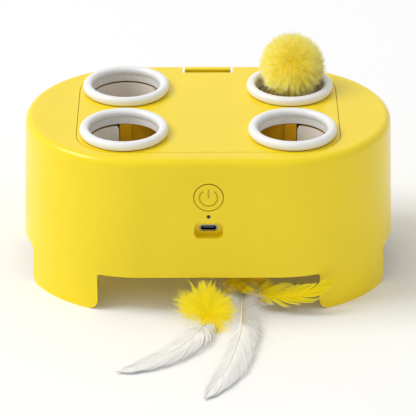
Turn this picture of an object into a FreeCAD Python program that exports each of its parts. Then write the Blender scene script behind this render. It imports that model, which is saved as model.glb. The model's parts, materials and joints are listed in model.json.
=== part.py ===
# Pop-up feather cat toy: a stadium-shaped housing on four curved legs, with four pompoms that rise
# through rimmed holes in its lid, and a bunch of feathers that swings under its front arch.
# Millimetres, +Z up, the floor at z = 0. X runs along the housing, and the front wall faces -Y.
# Every piece is drawn about the middle of the housing's footprint and then moved by frame_shift,
# which puts the origin under the middle of the whole toy, feathers included.
import FreeCAD, Part
import math
import os
import Sketcher
from FreeCAD import Placement, Rotation, Vector

doc = FreeCAD.newDocument("PopUpFeatherToy")

# Driving sizes: name, value, meaning
SIZES = (
    ("end_radius", 64.8, "plan radius of the round ends at the floor"),
    ("half_straight", 36.0, "half the straight run between the round ends"),
    ("housing_height", 88.0, "floor to the top face"),
    ("draft_angle", 2.0, "lean of the side walls"),
    ("wall", 2.4, "side wall thickness"),
    ("top_thickness", 2.2, "thickness of the lid and of the rim around it"),
    ("top_edge_radius", 4.0, "rounding of the upper outer edge"),
    ("arch_height", 21.0, "clear height under the walls"),
    ("front_arch_half", 58.9, "half width of the front and rear arches"),
    ("side_arch_half", 27.0, "half width of the side arches"),
    ("front_arch_round", 1.5, "rounding of the front and rear arches' upper corners"),
    ("side_arch_round", 4.0, "rounding of the side arches' upper corners"),
    ("foot_corner_radius", 5.5, "rounding of the feet's corners"),
    ("seat_thickness", 2.4, "thickness of the lugs that the lid rests on"),
    ("seat_reach", 2.6, "how far a lug reaches under the lid"),
    ("seat_root", 5.0, "how far a lug is joined to the rim"),
    ("seat_half", 8.0, "half width of a lug"),
    ("seat_spacing", 28.0, "distance from the middle to an outer front lug"),
    ("boss_radius", 4.2, "radius of the base screw bosses"),
    ("boss_inset", 5.0, "base screw's centre inside the wall"),
    ("boss_angle", 38.0, "direction of a boss from the long axis"),
    ("boss_height", 22.0, "height of the base screw bosses"),
    ("screw_radius", 1.5, "base and frame screw shank"),
    ("screw_head_radius", 2.8, "base and frame screw head"),
    ("screw_head_height", 1.4, "base and frame screw head"),
    ("screw_play", 0.2, "clearance of a screw in the base plate"),
    ("head_play", 0.3, "clearance around a screw head"),
    ("screw_grip", 8.0, "thread length in a boss"),
    ("fit_gap", 0.02, "clearance of a fastener or fixed pin in its hole"),
    ("run_gap", 0.05, "radial clearance of a turning or sliding fit"),
    ("seam_gap", 0.3, "seam around the lid"),
    ("lid_half", 69.5, "half length of the lid"),
    ("lid_front", 50.8, "lid's front edge from the middle"),
    ("lid_corner_radius", 21.3, "lid's front corners"),
    ("lid_rear_radius", 25.0, "lid's rear corners"),
    ("hole_spacing", 44.5, "pompom hole from the middle, along X"),
    ("hole_depth", 28.2, "pompom hole from the middle, along Y"),
    ("ring_inner", 18.4, "free radius of a bead rim"),
    ("ring_width", 5.3, "width of the bead"),
    ("ring_proud", 4.2, "height of the bead above the lid"),
    ("ring_round", 2.6, "rounding of the bead's top"),
    ("ring_foot_round", 0.8, "rounding where the bead meets the lid"),
    ("neck_wall", 1.9, "thickness of the rim's neck in the lid"),
    ("snap_depth", 0.9, "how far the rim reaches below the lid"),
    ("snap_hook", 0.6, "how far the rim's snap edge overhangs"),
    ("sleeve_play", 0.5, "sleeve radius over the rim's free radius"),
    ("sleeve_wall", 1.6, "guide sleeve thickness"),
    ("sleeve_gap", 0.9, "gap between a rim and its sleeve"),
    ("sleeve_slot_angle", 67.2, "half angle of the sleeve's open side"),
    ("sleeve_round", 2.5, "rounding of the sleeve's upper corners"),
    ("flange_width", 2.0, "sleeve's foot flange"),
    ("flange_height", 1.4, "sleeve's foot flange"),
    ("plate_bottom", 24.0, "underside of the base plate"),
    ("plate_thickness", 2.4, "base plate"),
    ("plate_play", 0.35, "gap around the base plate"),
    ("notch_half", 13.85, "half width of the latch notch"),
    ("notch_front", 51.2, "front edge of the latch notch"),
    ("notch_depth", 10.0, "depth of the notch in the rear wall"),
    ("tab_half", 12.7, "half width of the latch tab"),
    ("tab_front", 56.0, "front face of the latch tab"),
    ("tab_thickness", 3.5, "latch tab"),
    ("latch_stem", 2.2, "thickness of the latch tab's lower part"),
    ("latch_hinge_drop", 18.0, "top face to the latch's bending line"),
    ("latch_barrel", 1.6, "radius of the latch's lower end"),
    ("barb_depth", 1.1, "how far the latch barb enters the rear wall"),
    ("barb_height", 1.6, "latch barb"),
    ("barb_half", 7.0, "half width of the latch barb"),
    ("barb_drop", 12.6, "top face to the barb's upper side"),
    ("window_play", 0.6, "barb's window, each side of the barb"),
    ("window_rise", 0.4, "barb's window above the barb"),
    ("window_fall", 0.9, "barb's window below the barb"),
    ("bracket_half", 10.0, "half width of the latch's arm on the lid"),
    ("bracket_wall", 1.8, "thickness of the latch's arm on the lid"),
    ("pivot_reach", 10.0, "lever pivot from the middle axis"),
    ("pivot_drop", 7.5, "top face to the lever pivots"),
    ("swing_angle", 56.6, "lever swing from down to up"),
    ("lever_length", 45.5, "pivot to pompom centre"),
    ("lever_half_width", 2.4, "half width of a lever"),
    ("lever_depth", 2.8, "depth of a lever's arm"),
    ("lever_hub_radius", 2.9, "lever's hub"),
    ("lever_elbow_reach", 27.5, "pivot to elbow, outward, in the up pose"),
    ("lever_elbow_rise", 1.7, "pivot to elbow, upward, in the up pose"),
    ("lever_peg_radius", 1.5, "peg that carries the pompom"),
    ("lever_peg_stop", 6.0, "peg's end to the pompom's centre"),
    ("pin_radius", 1.0, "lever pin"),
    ("pin_half", 4.6, "half length of a lever pin"),
    ("slot_play", 0.4, "clearance beside a lever"),
    ("pompom_radius", 15.0, "firm body of a pompom under its fur"),
    ("spring_reach", 12.5, "pivot to the end of the follower spring"),
    ("spring_width", 3.0, "follower spring"),
    ("spring_thickness", 0.4, "follower spring"),
    ("cam_drop", 14.5, "lever pivots to the underside of the cam disc"),
    ("cam_thickness", 4.0, "cam disc"),
    ("cam_base_radius", 3.6, "cam's low side"),
    ("cam_nose_radius", 2.6, "rounding of the cam's lobe"),
    ("cam_throw", 15.2, "reach of the cam's lobe"),
    ("cam_hub_height", 5.0, "cam's hub below its disc"),
    ("shaft_radius", 2.0, "cam shaft"),
    ("shaft_end_gap", 0.1, "end play of the cam shaft and of the pinions"),
    ("shaft_tip", 1.4, "cam shaft above the cam"),
    ("clip_radius", 3.3, "shaft clip"),
    ("clip_thickness", 0.8, "shaft clip"),
    ("bush_radius", 3.5, "bush barrel"),
    ("bush_flange_radius", 5.0, "bush flange"),
    ("bush_flange", 0.8, "bush flange thickness"),
    ("bush_floor", 0.8, "base plate under the lower bush"),
    ("hub_gap", 0.6, "clearance at each end of a gear's hub"),
    ("gear_module", 0.7, "both gear pairs"),
    ("pressure_angle", 28.0, "both gear pairs"),
    ("backlash", 0.18, "play between teeth"),
    ("gear_bottom", 29.0, "underside of the gear wheels"),
    ("gear_face", 4.0, "face width of the gear wheels"),
    ("pinion_overhang", 0.3, "pinion face beyond the wheel's, each side"),
    ("cam_teeth", 60.0, "teeth of the cam gear"),
    ("pinion_teeth", 10.0, "teeth of both pinions"),
    ("gear_hub_radius", 5.0, "cam gear's hub"),
    ("gear_window_reach", 12.5, "windows in the cam gear, from its axis"),
    ("gear_window_radius", 4.2, "windows in the cam gear"),
    ("deck_bottom", 36.0, "underside of the mechanism deck"),
    ("deck_thickness", 2.4, "mechanism deck"),
    ("deck_radius", 22.0, "round part of the deck"),
    ("post_inner", 16.2, "posts' inner face from the middle axis"),
    ("post_outer", 19.2, "posts' outer face from the middle axis"),
    ("post_half_side", 4.5, "half width of the left and right posts"),
    ("post_half_front", 8.0, "half width of the front and rear posts"),
    ("crown_inner", 6.5, "inner radius of the bearing crown"),
    ("crown_half_height", 3.0, "crown's height either side of the pivots"),
    ("crown_gap", 1.8, "lid's underside to the bearing crown"),
    ("foot_reach", 26.5, "deck feet from the middle axis"),
    ("foot_angle", 60.0, "direction of a deck foot from the long axis"),
    ("foot_radius", 3.6, "deck feet"),
    ("foot_lug_radius", 5.5, "deck around a foot"),
    ("motor_width", 12.0, "gearmotor's wide side"),
    ("motor_depth", 10.0, "gearmotor's narrow side"),
    ("gearbox_height", 9.0, "gearmotor's gearbox"),
    ("motor_height", 15.0, "gearmotor's can"),
    ("motor_cap", 1.6, "plastic end cap of the motor"),
    ("motor_shaft_radius", 1.5, "gearmotor's output shaft"),
    ("motor_bore_play", 0.5, "clearance around the output shaft"),
    ("tray_half", 6.4, "half width of the deck under the pop-up gearmotor"),
    ("tray_end", 32.0, "end of the deck under the pop-up gearmotor"),
    ("cover_wall", 1.2, "motor and battery covers"),
    ("cover_half", 8.3, "half width of the covers"),
    ("cover_outer", 47.2, "outer end of the covers"),
    ("motor_cover_inner", 21.2, "inner end of the motor cover"),
    ("battery_cover_inner", 23.2, "inner end of the battery cover"),
    ("pillar_start", 41.0, "inner edge of a cover's end pillar"),
    ("pillar_half", 9.3, "half width of a cover's end pillar"),
    ("cover_gap", 1.3, "lid's underside to the covers"),
    ("cell_radius", 7.0, "battery cell"),
    ("cell_room", 4.9, "battery cell to the ceiling of its cover"),
    ("cell_spacing", 33.5, "battery cell from the middle"),
    ("cell_bottom", 28.4, "underside of the battery cell"),
    ("contact_half", 5.0, "half width of the battery contacts"),
    ("contact_thickness", 0.5, "battery contacts"),
    ("feather_axis_x", 11.0, "feather shaft, along X"),
    ("feather_axis_y", 38.0, "feather shaft, in front of the middle"),
    ("feather_shaft_radius", 1.5, "feather shaft"),
    ("feather_shaft_bottom", 12.5, "lower end of the feather shaft"),
    ("sector_teeth", 40.0, "teeth of the whole circle that the sector is cut from"),
    ("sector_start_angle", 166.0, "first direction of the toothed arc"),
    ("sector_end_angle", 224.0, "last direction of the toothed arc"),
    ("sector_hub_radius", 4.0, "feather sector's hub"),
    ("bracket_left", 13.5, "deck's left edge around the feather drive"),
    ("bracket_right", 22.0, "deck's right edge around the feather drive"),
    ("bracket_front", 49.5, "deck's front edge around the feather drive"),
    ("bracket_rear", 18.0, "where that part of the deck begins"),
    ("bracket_foot_x", 19.0, "right front foot of the deck"),
    ("bracket_foot_y", 46.0, "right front foot of the deck"),
    ("bracket_foot_left", 10.4, "left front foot of the deck"),
    ("clip_hub_radius", 4.5, "feather clip's hub"),
    ("clip_arm_bottom", 15.0, "feather clip's arm"),
    ("clip_arm_top", 20.5, "feather clip's arm"),
    ("clip_arm_half", 3.0, "half width of the feather clip's arm"),
    ("ferrule_x", 15.0, "ferrule that holds the quills"),
    ("ferrule_y", 51.0, "ferrule, in front of the middle"),
    ("ferrule_radius", 5.0, "ferrule"),
    ("ferrule_bottom", 4.0, "ferrule"),
    ("quill_width", 1.5, "width of a quill"),
    ("quill_hole_radius", 1.1, "holes for the quills"),
    ("quill_hole_depth", 2.6, "quill's start from the ferrule's axis"),
    ("vane_thickness", 0.7, "feather thickness along its shaft"),
    ("port_height", 47.5, "charging port above the floor"),
    ("recess_rise", 0.7, "middle of the port recess above the port"),
    ("recess_half_width", 7.5, "port recess"),
    ("recess_half_height", 4.45, "port recess"),
    ("recess_round", 2.6, "port recess corners"),
    ("recess_depth", 5.0, "port recess"),
    ("recess_wall", 1.8, "wall of the recess"),
    ("port_half_width", 4.47, "charging port's shell"),
    ("port_half_height", 1.63, "charging port's shell"),
    ("port_shell", 0.3, "charging port's shell thickness"),
    ("port_play", 0.3, "gap around the charging port"),
    ("port_setback", 0.3, "charging port's mouth behind the recess floor"),
    ("tongue_half_width", 3.35, "contact tongue"),
    ("tongue_half_height", 0.35, "contact tongue"),
    ("tongue_recess", 0.7, "tongue's end behind the shell's mouth"),
    ("port_base", 1.6, "closed rear of the charging port"),
    ("button_radius", 7.5, "power button"),
    ("button_play", 0.4, "groove around the power button"),
    ("button_proud", 0.15, "button's face in front of the wall"),
    ("button_travel", 0.8, "power button's travel"),
    ("button_flange", 0.9, "how far the button's flange overhangs"),
    ("button_flange_thickness", 1.0, "button's flange"),
    ("button_stem_radius", 2.4, "button's stem"),
    ("collar_play", 0.3, "gap around the button's flange"),
    ("collar_wall", 1.2, "collar around the button"),
    ("symbol_radius", 4.7, "power symbol's arc"),
    ("symbol_stroke", 0.75, "power symbol's line"),
    ("symbol_depth", 0.3, "depth of the power symbol"),
    ("symbol_bar", 4.8, "power symbol's upright line"),
    ("symbol_open_angle", 38.0, "half the power symbol's opening"),
    ("collar_end", 57.4, "collar's inner end from the middle"),
    ("light_gap", 0.8, "port recess's wall to the light's hole"),
    ("button_gap", 0.05, "light's hole to the collar around the button"),
    ("light_radius", 1.0, "status light pipe"),
    ("light_chip", 1.2, "half width of the light's chip"),
    ("light_chip_height", 1.0, "thickness of the light's chip"),
    ("board_front", 51.5, "board's front face from the middle"),
    ("board_thickness", 1.6, "circuit board"),
    ("board_half", 17.0, "half width of the circuit board"),
    ("board_fall", 7.5, "lower edge of the circuit board under the port"),
    ("board_rise", 6.7, "upper edge of the circuit board over the button's centre"),
    ("board_boss_x", 13.5, "board bosses"),
    ("boss_fall", 3.0, "lower board bosses under the port"),
    ("boss_rise", 3.2, "upper board bosses over the button's centre"),
    ("board_boss_radius", 2.6, "board bosses"),
    ("board_screw_radius", 1.0, "board screws"),
    ("board_head_radius", 1.9, "board screw heads"),
    ("board_head_height", 1.2, "board screw heads"),
    ("board_screw_grip", 4.0, "board screws in their bosses"),
    ("switch_half", 3.0, "half width of the push switch"),
    ("switch_height", 2.6, "push switch body"),
    ("plunger_radius", 1.7, "push switch plunger"),
    ("plunger_height", 1.0, "push switch plunger"),
    ("feather_reach", 156.2, "tip of the longest feather in front of the middle"),
)

# Places worked out from the driving sizes: name, formula
PLACES = (
    ("housing_reach", "Sizes.end_radius - Sizes.arch_height * tan(Sizes.draft_angle * 1 deg)"),
    ("frame_shift", "(Sizes.feather_reach - housing_reach) / 2"),
    ("plate_top", "Sizes.plate_bottom + Sizes.plate_thickness"),
    ("lid_bottom", "Sizes.housing_height - Sizes.top_thickness"),
    ("boss_reach", "Sizes.end_radius - Sizes.wall - Sizes.boss_inset"),
    ("pivot_height", "Sizes.housing_height - Sizes.pivot_drop"),
    ("crown_top", "lid_bottom - Sizes.crown_gap"),
    ("cover_top", "lid_bottom - Sizes.cover_gap"),
    ("cam_bottom", "pivot_height - Sizes.cam_drop"),
    ("shaft_bottom", "Sizes.plate_bottom + Sizes.bush_floor + Sizes.shaft_end_gap"),
    ("shaft_top", "cam_bottom + Sizes.cam_thickness + Sizes.shaft_tip"),
    ("cell_length", "cover_top - Sizes.cover_wall - Sizes.cell_room - Sizes.cell_bottom"),
    ("recess_height", "Sizes.port_height + Sizes.recess_rise"),
    ("collar_inner", "Sizes.button_radius + Sizes.button_flange + Sizes.collar_play"),
    ("light_hole", "Sizes.light_radius + Sizes.run_gap"),
    ("light_height", "recess_height + Sizes.recess_half_height + Sizes.recess_wall"
                     " + Sizes.light_gap + light_hole"),
    ("button_height", "light_height + light_hole + Sizes.button_gap + Sizes.collar_wall"
                      " + collar_inner"),
    ("board_bottom", "Sizes.port_height - Sizes.board_fall"),
    ("board_top", "button_height + Sizes.board_rise"),
    ("board_boss_low", "Sizes.port_height - Sizes.boss_fall"),
    ("board_boss_high", "button_height + Sizes.boss_rise"),
    ("ring_outer", "Sizes.ring_inner + Sizes.ring_width"),
    ("ring_bottom", "lid_bottom - Sizes.snap_depth"),
    ("neck_outer", "Sizes.ring_inner + Sizes.neck_wall"),
    ("hole_radius", "neck_outer + 0.2"),
    ("sleeve_inner", "Sizes.ring_inner + Sizes.sleeve_play"),
    ("sleeve_outer", "sleeve_inner + Sizes.sleeve_wall"),
    ("sleeve_top", "ring_bottom - Sizes.sleeve_gap"),
    ("deck_top", "Sizes.deck_bottom + Sizes.deck_thickness"),
    ("slot_half", "Sizes.lever_half_width + Sizes.slot_play"),
    ("hub_bottom", "plate_top + Sizes.bush_flange + 0.2"),
    ("hub_top", "Sizes.deck_bottom - Sizes.hub_gap"),
    ("popup_spacing", "Sizes.gear_module * (Sizes.cam_teeth + Sizes.pinion_teeth) / 2"),
    ("feather_spacing", "Sizes.gear_module * (Sizes.sector_teeth + Sizes.pinion_teeth) / 2"),
    ("recess_floor", "Sizes.end_radius - recess_height * tan(Sizes.draft_angle * 1 deg)"
                     " - Sizes.recess_depth"),
    ("button_wall", "Sizes.end_radius - button_height * tan(Sizes.draft_angle * 1 deg)"),
    ("light_wall", "Sizes.end_radius - light_height * tan(Sizes.draft_angle * 1 deg)"),
    ("board_rear", "Sizes.board_front - Sizes.board_thickness"),
    ("switch_face", "Sizes.board_front + Sizes.switch_height + Sizes.plunger_height"),
    ("latch_hinge", "Sizes.housing_height - Sizes.latch_hinge_drop"),
    ("latch_axis", "Sizes.tab_front + Sizes.latch_barrel"),
)


def write_sheet(name, rows, formula=False):
    sheet = doc.addObject("Spreadsheet::Sheet", name)
    for number, row in enumerate(rows, start=1):
        content = f"={row[1]}" if formula else str(row[1])
        sheet.set(f"A{number}", content)
        sheet.setAlias(f"A{number}", row[0])
        if len(row) > 2:
            sheet.set(f"B{number}", row[2])
    doc.recompute()
    return sheet


sizes = write_sheet("Sizes", SIZES)
places = write_sheet("Places", PLACES, formula=True)

HALF_TURN = 180.0
# How far a cutter reaches beyond the face that it starts from
MARGIN = 1.0
# Tooth height above the pitch circle, and the gap at a tooth's root, in gear modules
ADDENDUM = 0.9
TOOTH_CLEARANCE = 0.15
CORNERS = {
    "front_left": (-1, -1),
    "front_right": (1, -1),
    "rear_left": (-1, 1),
    "rear_right": (1, 1),
}
RAISED = "rear_right"


def value(expression):
    """The number that an expression of the sheets' names gives."""
    result = sizes.evalExpression(str(expression))
    return float(getattr(result, "Value", result))


def bind(thing, **expressions):
    for name, expression in expressions.items():
        thing.setExpression(name, str(expression))


def place(thing, x="0", y="0", z="0"):
    for axis, expression in zip("xyz", (x, y, z)):
        thing.setExpression(f"Placement.Base.{axis}", str(expression))


def origin_plane(body, role):
    return next(plane for plane in body.Origin.OriginFeatures if plane.Role == role)


def new_body(label):
    return doc.addObject("PartDesign::Body", label)


def new_sketch(body, name, role, height=None):
    sketch = body.newObject("Sketcher::SketchObject", name)
    sketch.AttachmentSupport = (origin_plane(body, role), [""])
    sketch.MapMode = "FlatFace"
    if height is not None:
        sketch.setExpression("AttachmentOffset.Base.z", str(height))
    return sketch


def constrain(sketch, rules):
    """Adds all rules at once, so that no half-constrained outline is solved on the way."""
    numbers = sketch.addConstraint([rule for rule, _ in rules])
    for number, (_, expression) in zip(numbers, rules):
        if expression is not None:
            sketch.setExpression(f"Constraints[{number}]", str(expression))


def touching(kind, *ends):
    return Sketcher.Constraint(kind, *ends), None


def fixed_point(geometry, end, x, y):
    return [(Sketcher.Constraint("DistanceX", geometry, end, value(x)), x),
            (Sketcher.Constraint("DistanceY", geometry, end, value(y)), y)]


def fixed_radius(geometry, radius):
    return Sketcher.Constraint("Radius", geometry, value(radius)), radius


def add_circle(sketch, x, y, radius):
    circle = Part.Circle(Vector(value(x), value(y), 0), Vector(0, 0, 1), value(radius))
    index = sketch.addGeometry(circle, False)
    constrain(sketch, fixed_point(index, 3, x, y) + [fixed_radius(index, radius)])


def corner_arc(before, corner, after, radius):
    """Start, middle and end of the arc that rounds a corner between two straight edges."""
    back = (before - corner).normalize()
    ahead = (after - corner).normalize()
    half_angle = back.getAngle(ahead) / 2
    run = radius / math.tan(half_angle)
    inward = (back + ahead).normalize()
    centre = corner + inward * (radius / math.sin(half_angle))
    return corner + back * run, centre - inward * radius, corner + ahead * run


def turns_left(before, corner, after):
    return (corner - before).cross(after - corner).z > 0


def add_outline(sketch, corners):
    """Closed outline of straight edges: each corner is x, y and a rounding radius or None."""
    points = [Vector(value(x), value(y), 0) for x, y, _ in corners]
    count = len(corners)
    arcs = []
    for index, (_, _, radius) in enumerate(corners):
        here, before, after = points[index], points[index - 1], points[(index + 1) % count]
        arcs.append((here, here, here) if radius is None else
                    corner_arc(before, here, after, value(radius)))
    lines = []
    for index in range(count):
        edge = Part.LineSegment(arcs[index][2], arcs[(index + 1) % count][0])
        lines.append(sketch.addGeometry(edge, False))
    rules = []
    for index, (x, y, radius) in enumerate(corners):
        before, after = lines[index - 1], lines[index]
        if radius is None:
            rules += [touching("Coincident", before, 2, after, 1)] + fixed_point(after, 1, x, y)
            continue
        # the sketcher counts an arc's ends counter-clockwise, so a right turn is drawn backwards
        first = 1 if turns_left(points[index - 1], points[index], points[(index + 1) % count]) else 2
        ends = arcs[index] if first == 1 else arcs[index][::-1]
        arc = sketch.addGeometry(Part.Arc(*ends), False)
        corner = sketch.addGeometry(Part.Point(points[index]), True)
        rules += [fixed_radius(arc, radius)] + fixed_point(corner, 1, x, y)
        rules += [touching("PointOnObject", corner, 1, before),
                  touching("PointOnObject", corner, 1, after),
                  touching("Tangent", before, 2, arc, first),
                  touching("Tangent", after, 1, arc, 3 - first)]
    constrain(sketch, rules)


def add_stadium(sketch, half_straight, radius):
    """Two half circles joined by straight edges, centred on the sketch's origin."""
    far, high = value(half_straight), value(radius)
    right = Part.Arc(Vector(far, -high, 0), Vector(far + high, 0, 0), Vector(far, high, 0))
    left = Part.Arc(Vector(-far, high, 0), Vector(-far - high, 0, 0), Vector(-far, -high, 0))
    ends = [sketch.addGeometry(right, False), sketch.addGeometry(left, False)]
    top = sketch.addGeometry(Part.LineSegment(Vector(far, high, 0), Vector(-far, high, 0)), False)
    low = sketch.addGeometry(Part.LineSegment(Vector(-far, -high, 0), Vector(far, -high, 0)), False)
    joints = ((ends[0], 2, top, 1), (top, 2, ends[1], 1), (ends[1], 2, low, 1), (low, 2, ends[0], 1))
    constrain(sketch, [fixed_radius(ends[0], radius)]
              + fixed_point(ends[0], 3, half_straight, "0")
              + fixed_point(ends[1], 3, f"-({half_straight})", "0")
              + [touching("Tangent", *joint) for joint in joints])


def rectangle(x_low, x_high, y_low, y_high, radius=None):
    return [(x_low, y_low, radius), (x_high, y_low, radius),
            (x_high, y_high, radius), (x_low, y_high, radius)]


def pad(body, sketch, length, both_sides=False, upward=True, taper=None):
    feature = body.newObject("PartDesign::Pad", f"{sketch.Name}_pad")
    feature.Profile = sketch
    feature.Reversed = not upward
    if both_sides:
        feature.Midplane = True
    feature.setExpression("Length", str(length))
    if taper:
        feature.setExpression("TaperAngle", taper)
    sketch.Visibility = False
    return feature


def pocket(body, sketch, length=None, both_sides=False, along_normal=False, taper=None):
    """A cut against the sketch's normal, or along it. With no length it goes right through."""
    feature = body.newObject("PartDesign::Pocket", f"{sketch.Name}_cut")
    feature.Profile = sketch
    feature.Reversed = along_normal
    if both_sides:
        feature.Midplane = True
    if length is None:
        feature.Type = "ThroughAll"
    else:
        feature.setExpression("Length", str(length))
    if taper:
        feature.setExpression("TaperAngle", taper)
    sketch.Visibility = False
    return feature


def spun(body, sketch, angle="360"):
    feature = body.newObject("PartDesign::Revolution", f"{sketch.Name}_turn")
    feature.Profile = sketch
    feature.ReferenceAxis = (sketch, ["V_Axis"])
    feature.setExpression("Angle", str(angle))
    sketch.Visibility = False
    return feature


def must_cut(body, label, action):
    """Runs a cutting step and makes sure that it took material away."""
    doc.recompute()
    before = body.Shape.Volume
    action()
    doc.recompute()
    if body.Shape.Volume >= before - 1e-3:
        raise RuntimeError(f"{label} cut nothing")


def chosen_edges(shape, test):
    return [f"Edge{number}" for number, edge in enumerate(shape.Edges, start=1) if test(edge)]


def round_edges(body, label, radius, test):
    doc.recompute()
    base = body.Tip
    feature = body.newObject("PartDesign::Fillet", label)
    feature.Base = (base, chosen_edges(base.Shape, test))
    feature.setExpression("Radius", str(radius))
    return feature


def block(name, x_low, x_high, y_low, y_high, z_low, z_high):
    box = doc.addObject("Part::Box", name)
    bind(box, Length=f"({x_high}) - ({x_low})", Width=f"({y_high}) - ({y_low})",
         Height=f"({z_high}) - ({z_low})")
    place(box, x_low, y_low, z_low)
    return box


def cylinder(name, radius, x, y, z, length, axis="z"):
    """A cylinder that starts at x, y, z and runs up, or towards +Y for axis y."""
    rod = doc.addObject("Part::Cylinder", name)
    bind(rod, Radius=radius, Height=length)
    if axis == "y":
        rod.Placement = Placement(Vector(), Rotation(Vector(1, 0, 0), -90))
    if axis == "x":
        rod.Placement = Placement(Vector(), Rotation(Vector(0, 1, 0), 90))
    place(rod, x, y, z)
    return rod


def joined(name, pieces):
    whole = doc.addObject("Part::MultiFuse", name)
    whole.Shapes = pieces
    whole.Refine = True
    return whole


def cut(name, base, tools):
    result = doc.addObject("Part::Cut", name)
    result.Base = base
    result.Tool = tools[0] if len(tools) == 1 else joined(f"{name}_tools", tools)
    return result


def overlap(name, first, second):
    result = doc.addObject("Part::Common", name)
    result.Base = first
    result.Tool = second
    return result


def group(name, pieces):
    result = doc.addObject("Part::Compound", name)
    result.Links = pieces
    return result


pieces = []


def keep(thing, label, moved=True):
    """Names a finished piece and moves it from the housing's frame to the whole toy's frame."""
    thing.Label = label
    if moved:
        thing.setExpression("Placement.Base.y", "Places.frame_shift")
    pieces.append(thing)
    return thing


def solid_piece(label, shape, x="0", y="0"):
    """A shape drawn about its own upright axis, and placed at x, y in the housing's frame."""
    feature = doc.addObject("Part::Feature", label)
    feature.Shape = shape
    place(feature, x, f"{y} + Places.frame_shift")
    return keep(feature, label, moved=False)


HALF_LENGTH = "(Sizes.half_straight + Sizes.end_radius)"


def outer_form(body, name):
    """The housing's outside: a stadium with leaning walls and a rounded upper edge."""
    plan = new_sketch(body, f"{name}_plan", "XY_Plane")
    add_stadium(plan, "Sizes.half_straight", "Sizes.end_radius")
    pad(body, plan, "Sizes.housing_height", taper="-Sizes.draft_angle")
    top = value("Sizes.housing_height")
    round_edges(body, f"{name}_top_round", "Sizes.top_edge_radius",
                lambda edge: edge.BoundBox.ZMin > top - 1e-3)


def lid_outline(sketch, gap="0"):
    """The seam's path: rounded front corners, and rear corners that run out over the rear edge."""
    half = f"(Sizes.lid_half + {gap})"
    front = f"-(Sizes.lid_front + {gap})"
    turn = f"(Sizes.lid_rear_radius + {gap})"
    # the rear corner turns by 45 degrees about the hole's centre line, then runs straight out
    corner_y = f"(Sizes.hole_depth + {turn} * tan(22.5 deg))"
    beyond = "(Sizes.end_radius + 4)"
    exit_x = f"({half} - ({beyond} - {corner_y}))"
    corner = f"Sizes.lid_corner_radius + {gap}"
    add_outline(sketch, [
        (f"-{half}", front, corner), (half, front, corner),
        (half, corner_y, turn), (exit_x, beyond, None),
        (f"-{exit_x}", beyond, None), (f"-{half}", corner_y, turn),
    ])


def arch_outline(sketch, half, rounding):
    """An arch seen square on: rounded upper corners, and feet rounded outward at the floor."""
    foot = "Sizes.foot_corner_radius"
    spread = f"({half} + 2 * {foot})"
    add_outline(sketch, [
        (f"-{spread}", "-5", None), (f"-{spread}", "0", None), (f"-{half}", "0", foot),
        (f"-{half}", "Sizes.arch_height", rounding), (half, "Sizes.arch_height", rounding),
        (half, "0", foot), (spread, "0", None), (spread, "-5", None),
    ])


def base_boss_places():
    x = "(Sizes.half_straight + Places.boss_reach * cos(Sizes.boss_angle * 1 deg))"
    y = "(Places.boss_reach * sin(Sizes.boss_angle * 1 deg))"
    return [(f"{sx} * {x}", f"{sy} * {y}") for sx, sy in CORNERS.values()]


def board_boss_places():
    return [(f"{side} * Sizes.board_boss_x", height) for side in (-1, 1)
            for height in ("Places.board_boss_low", "Places.board_boss_high")]


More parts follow.
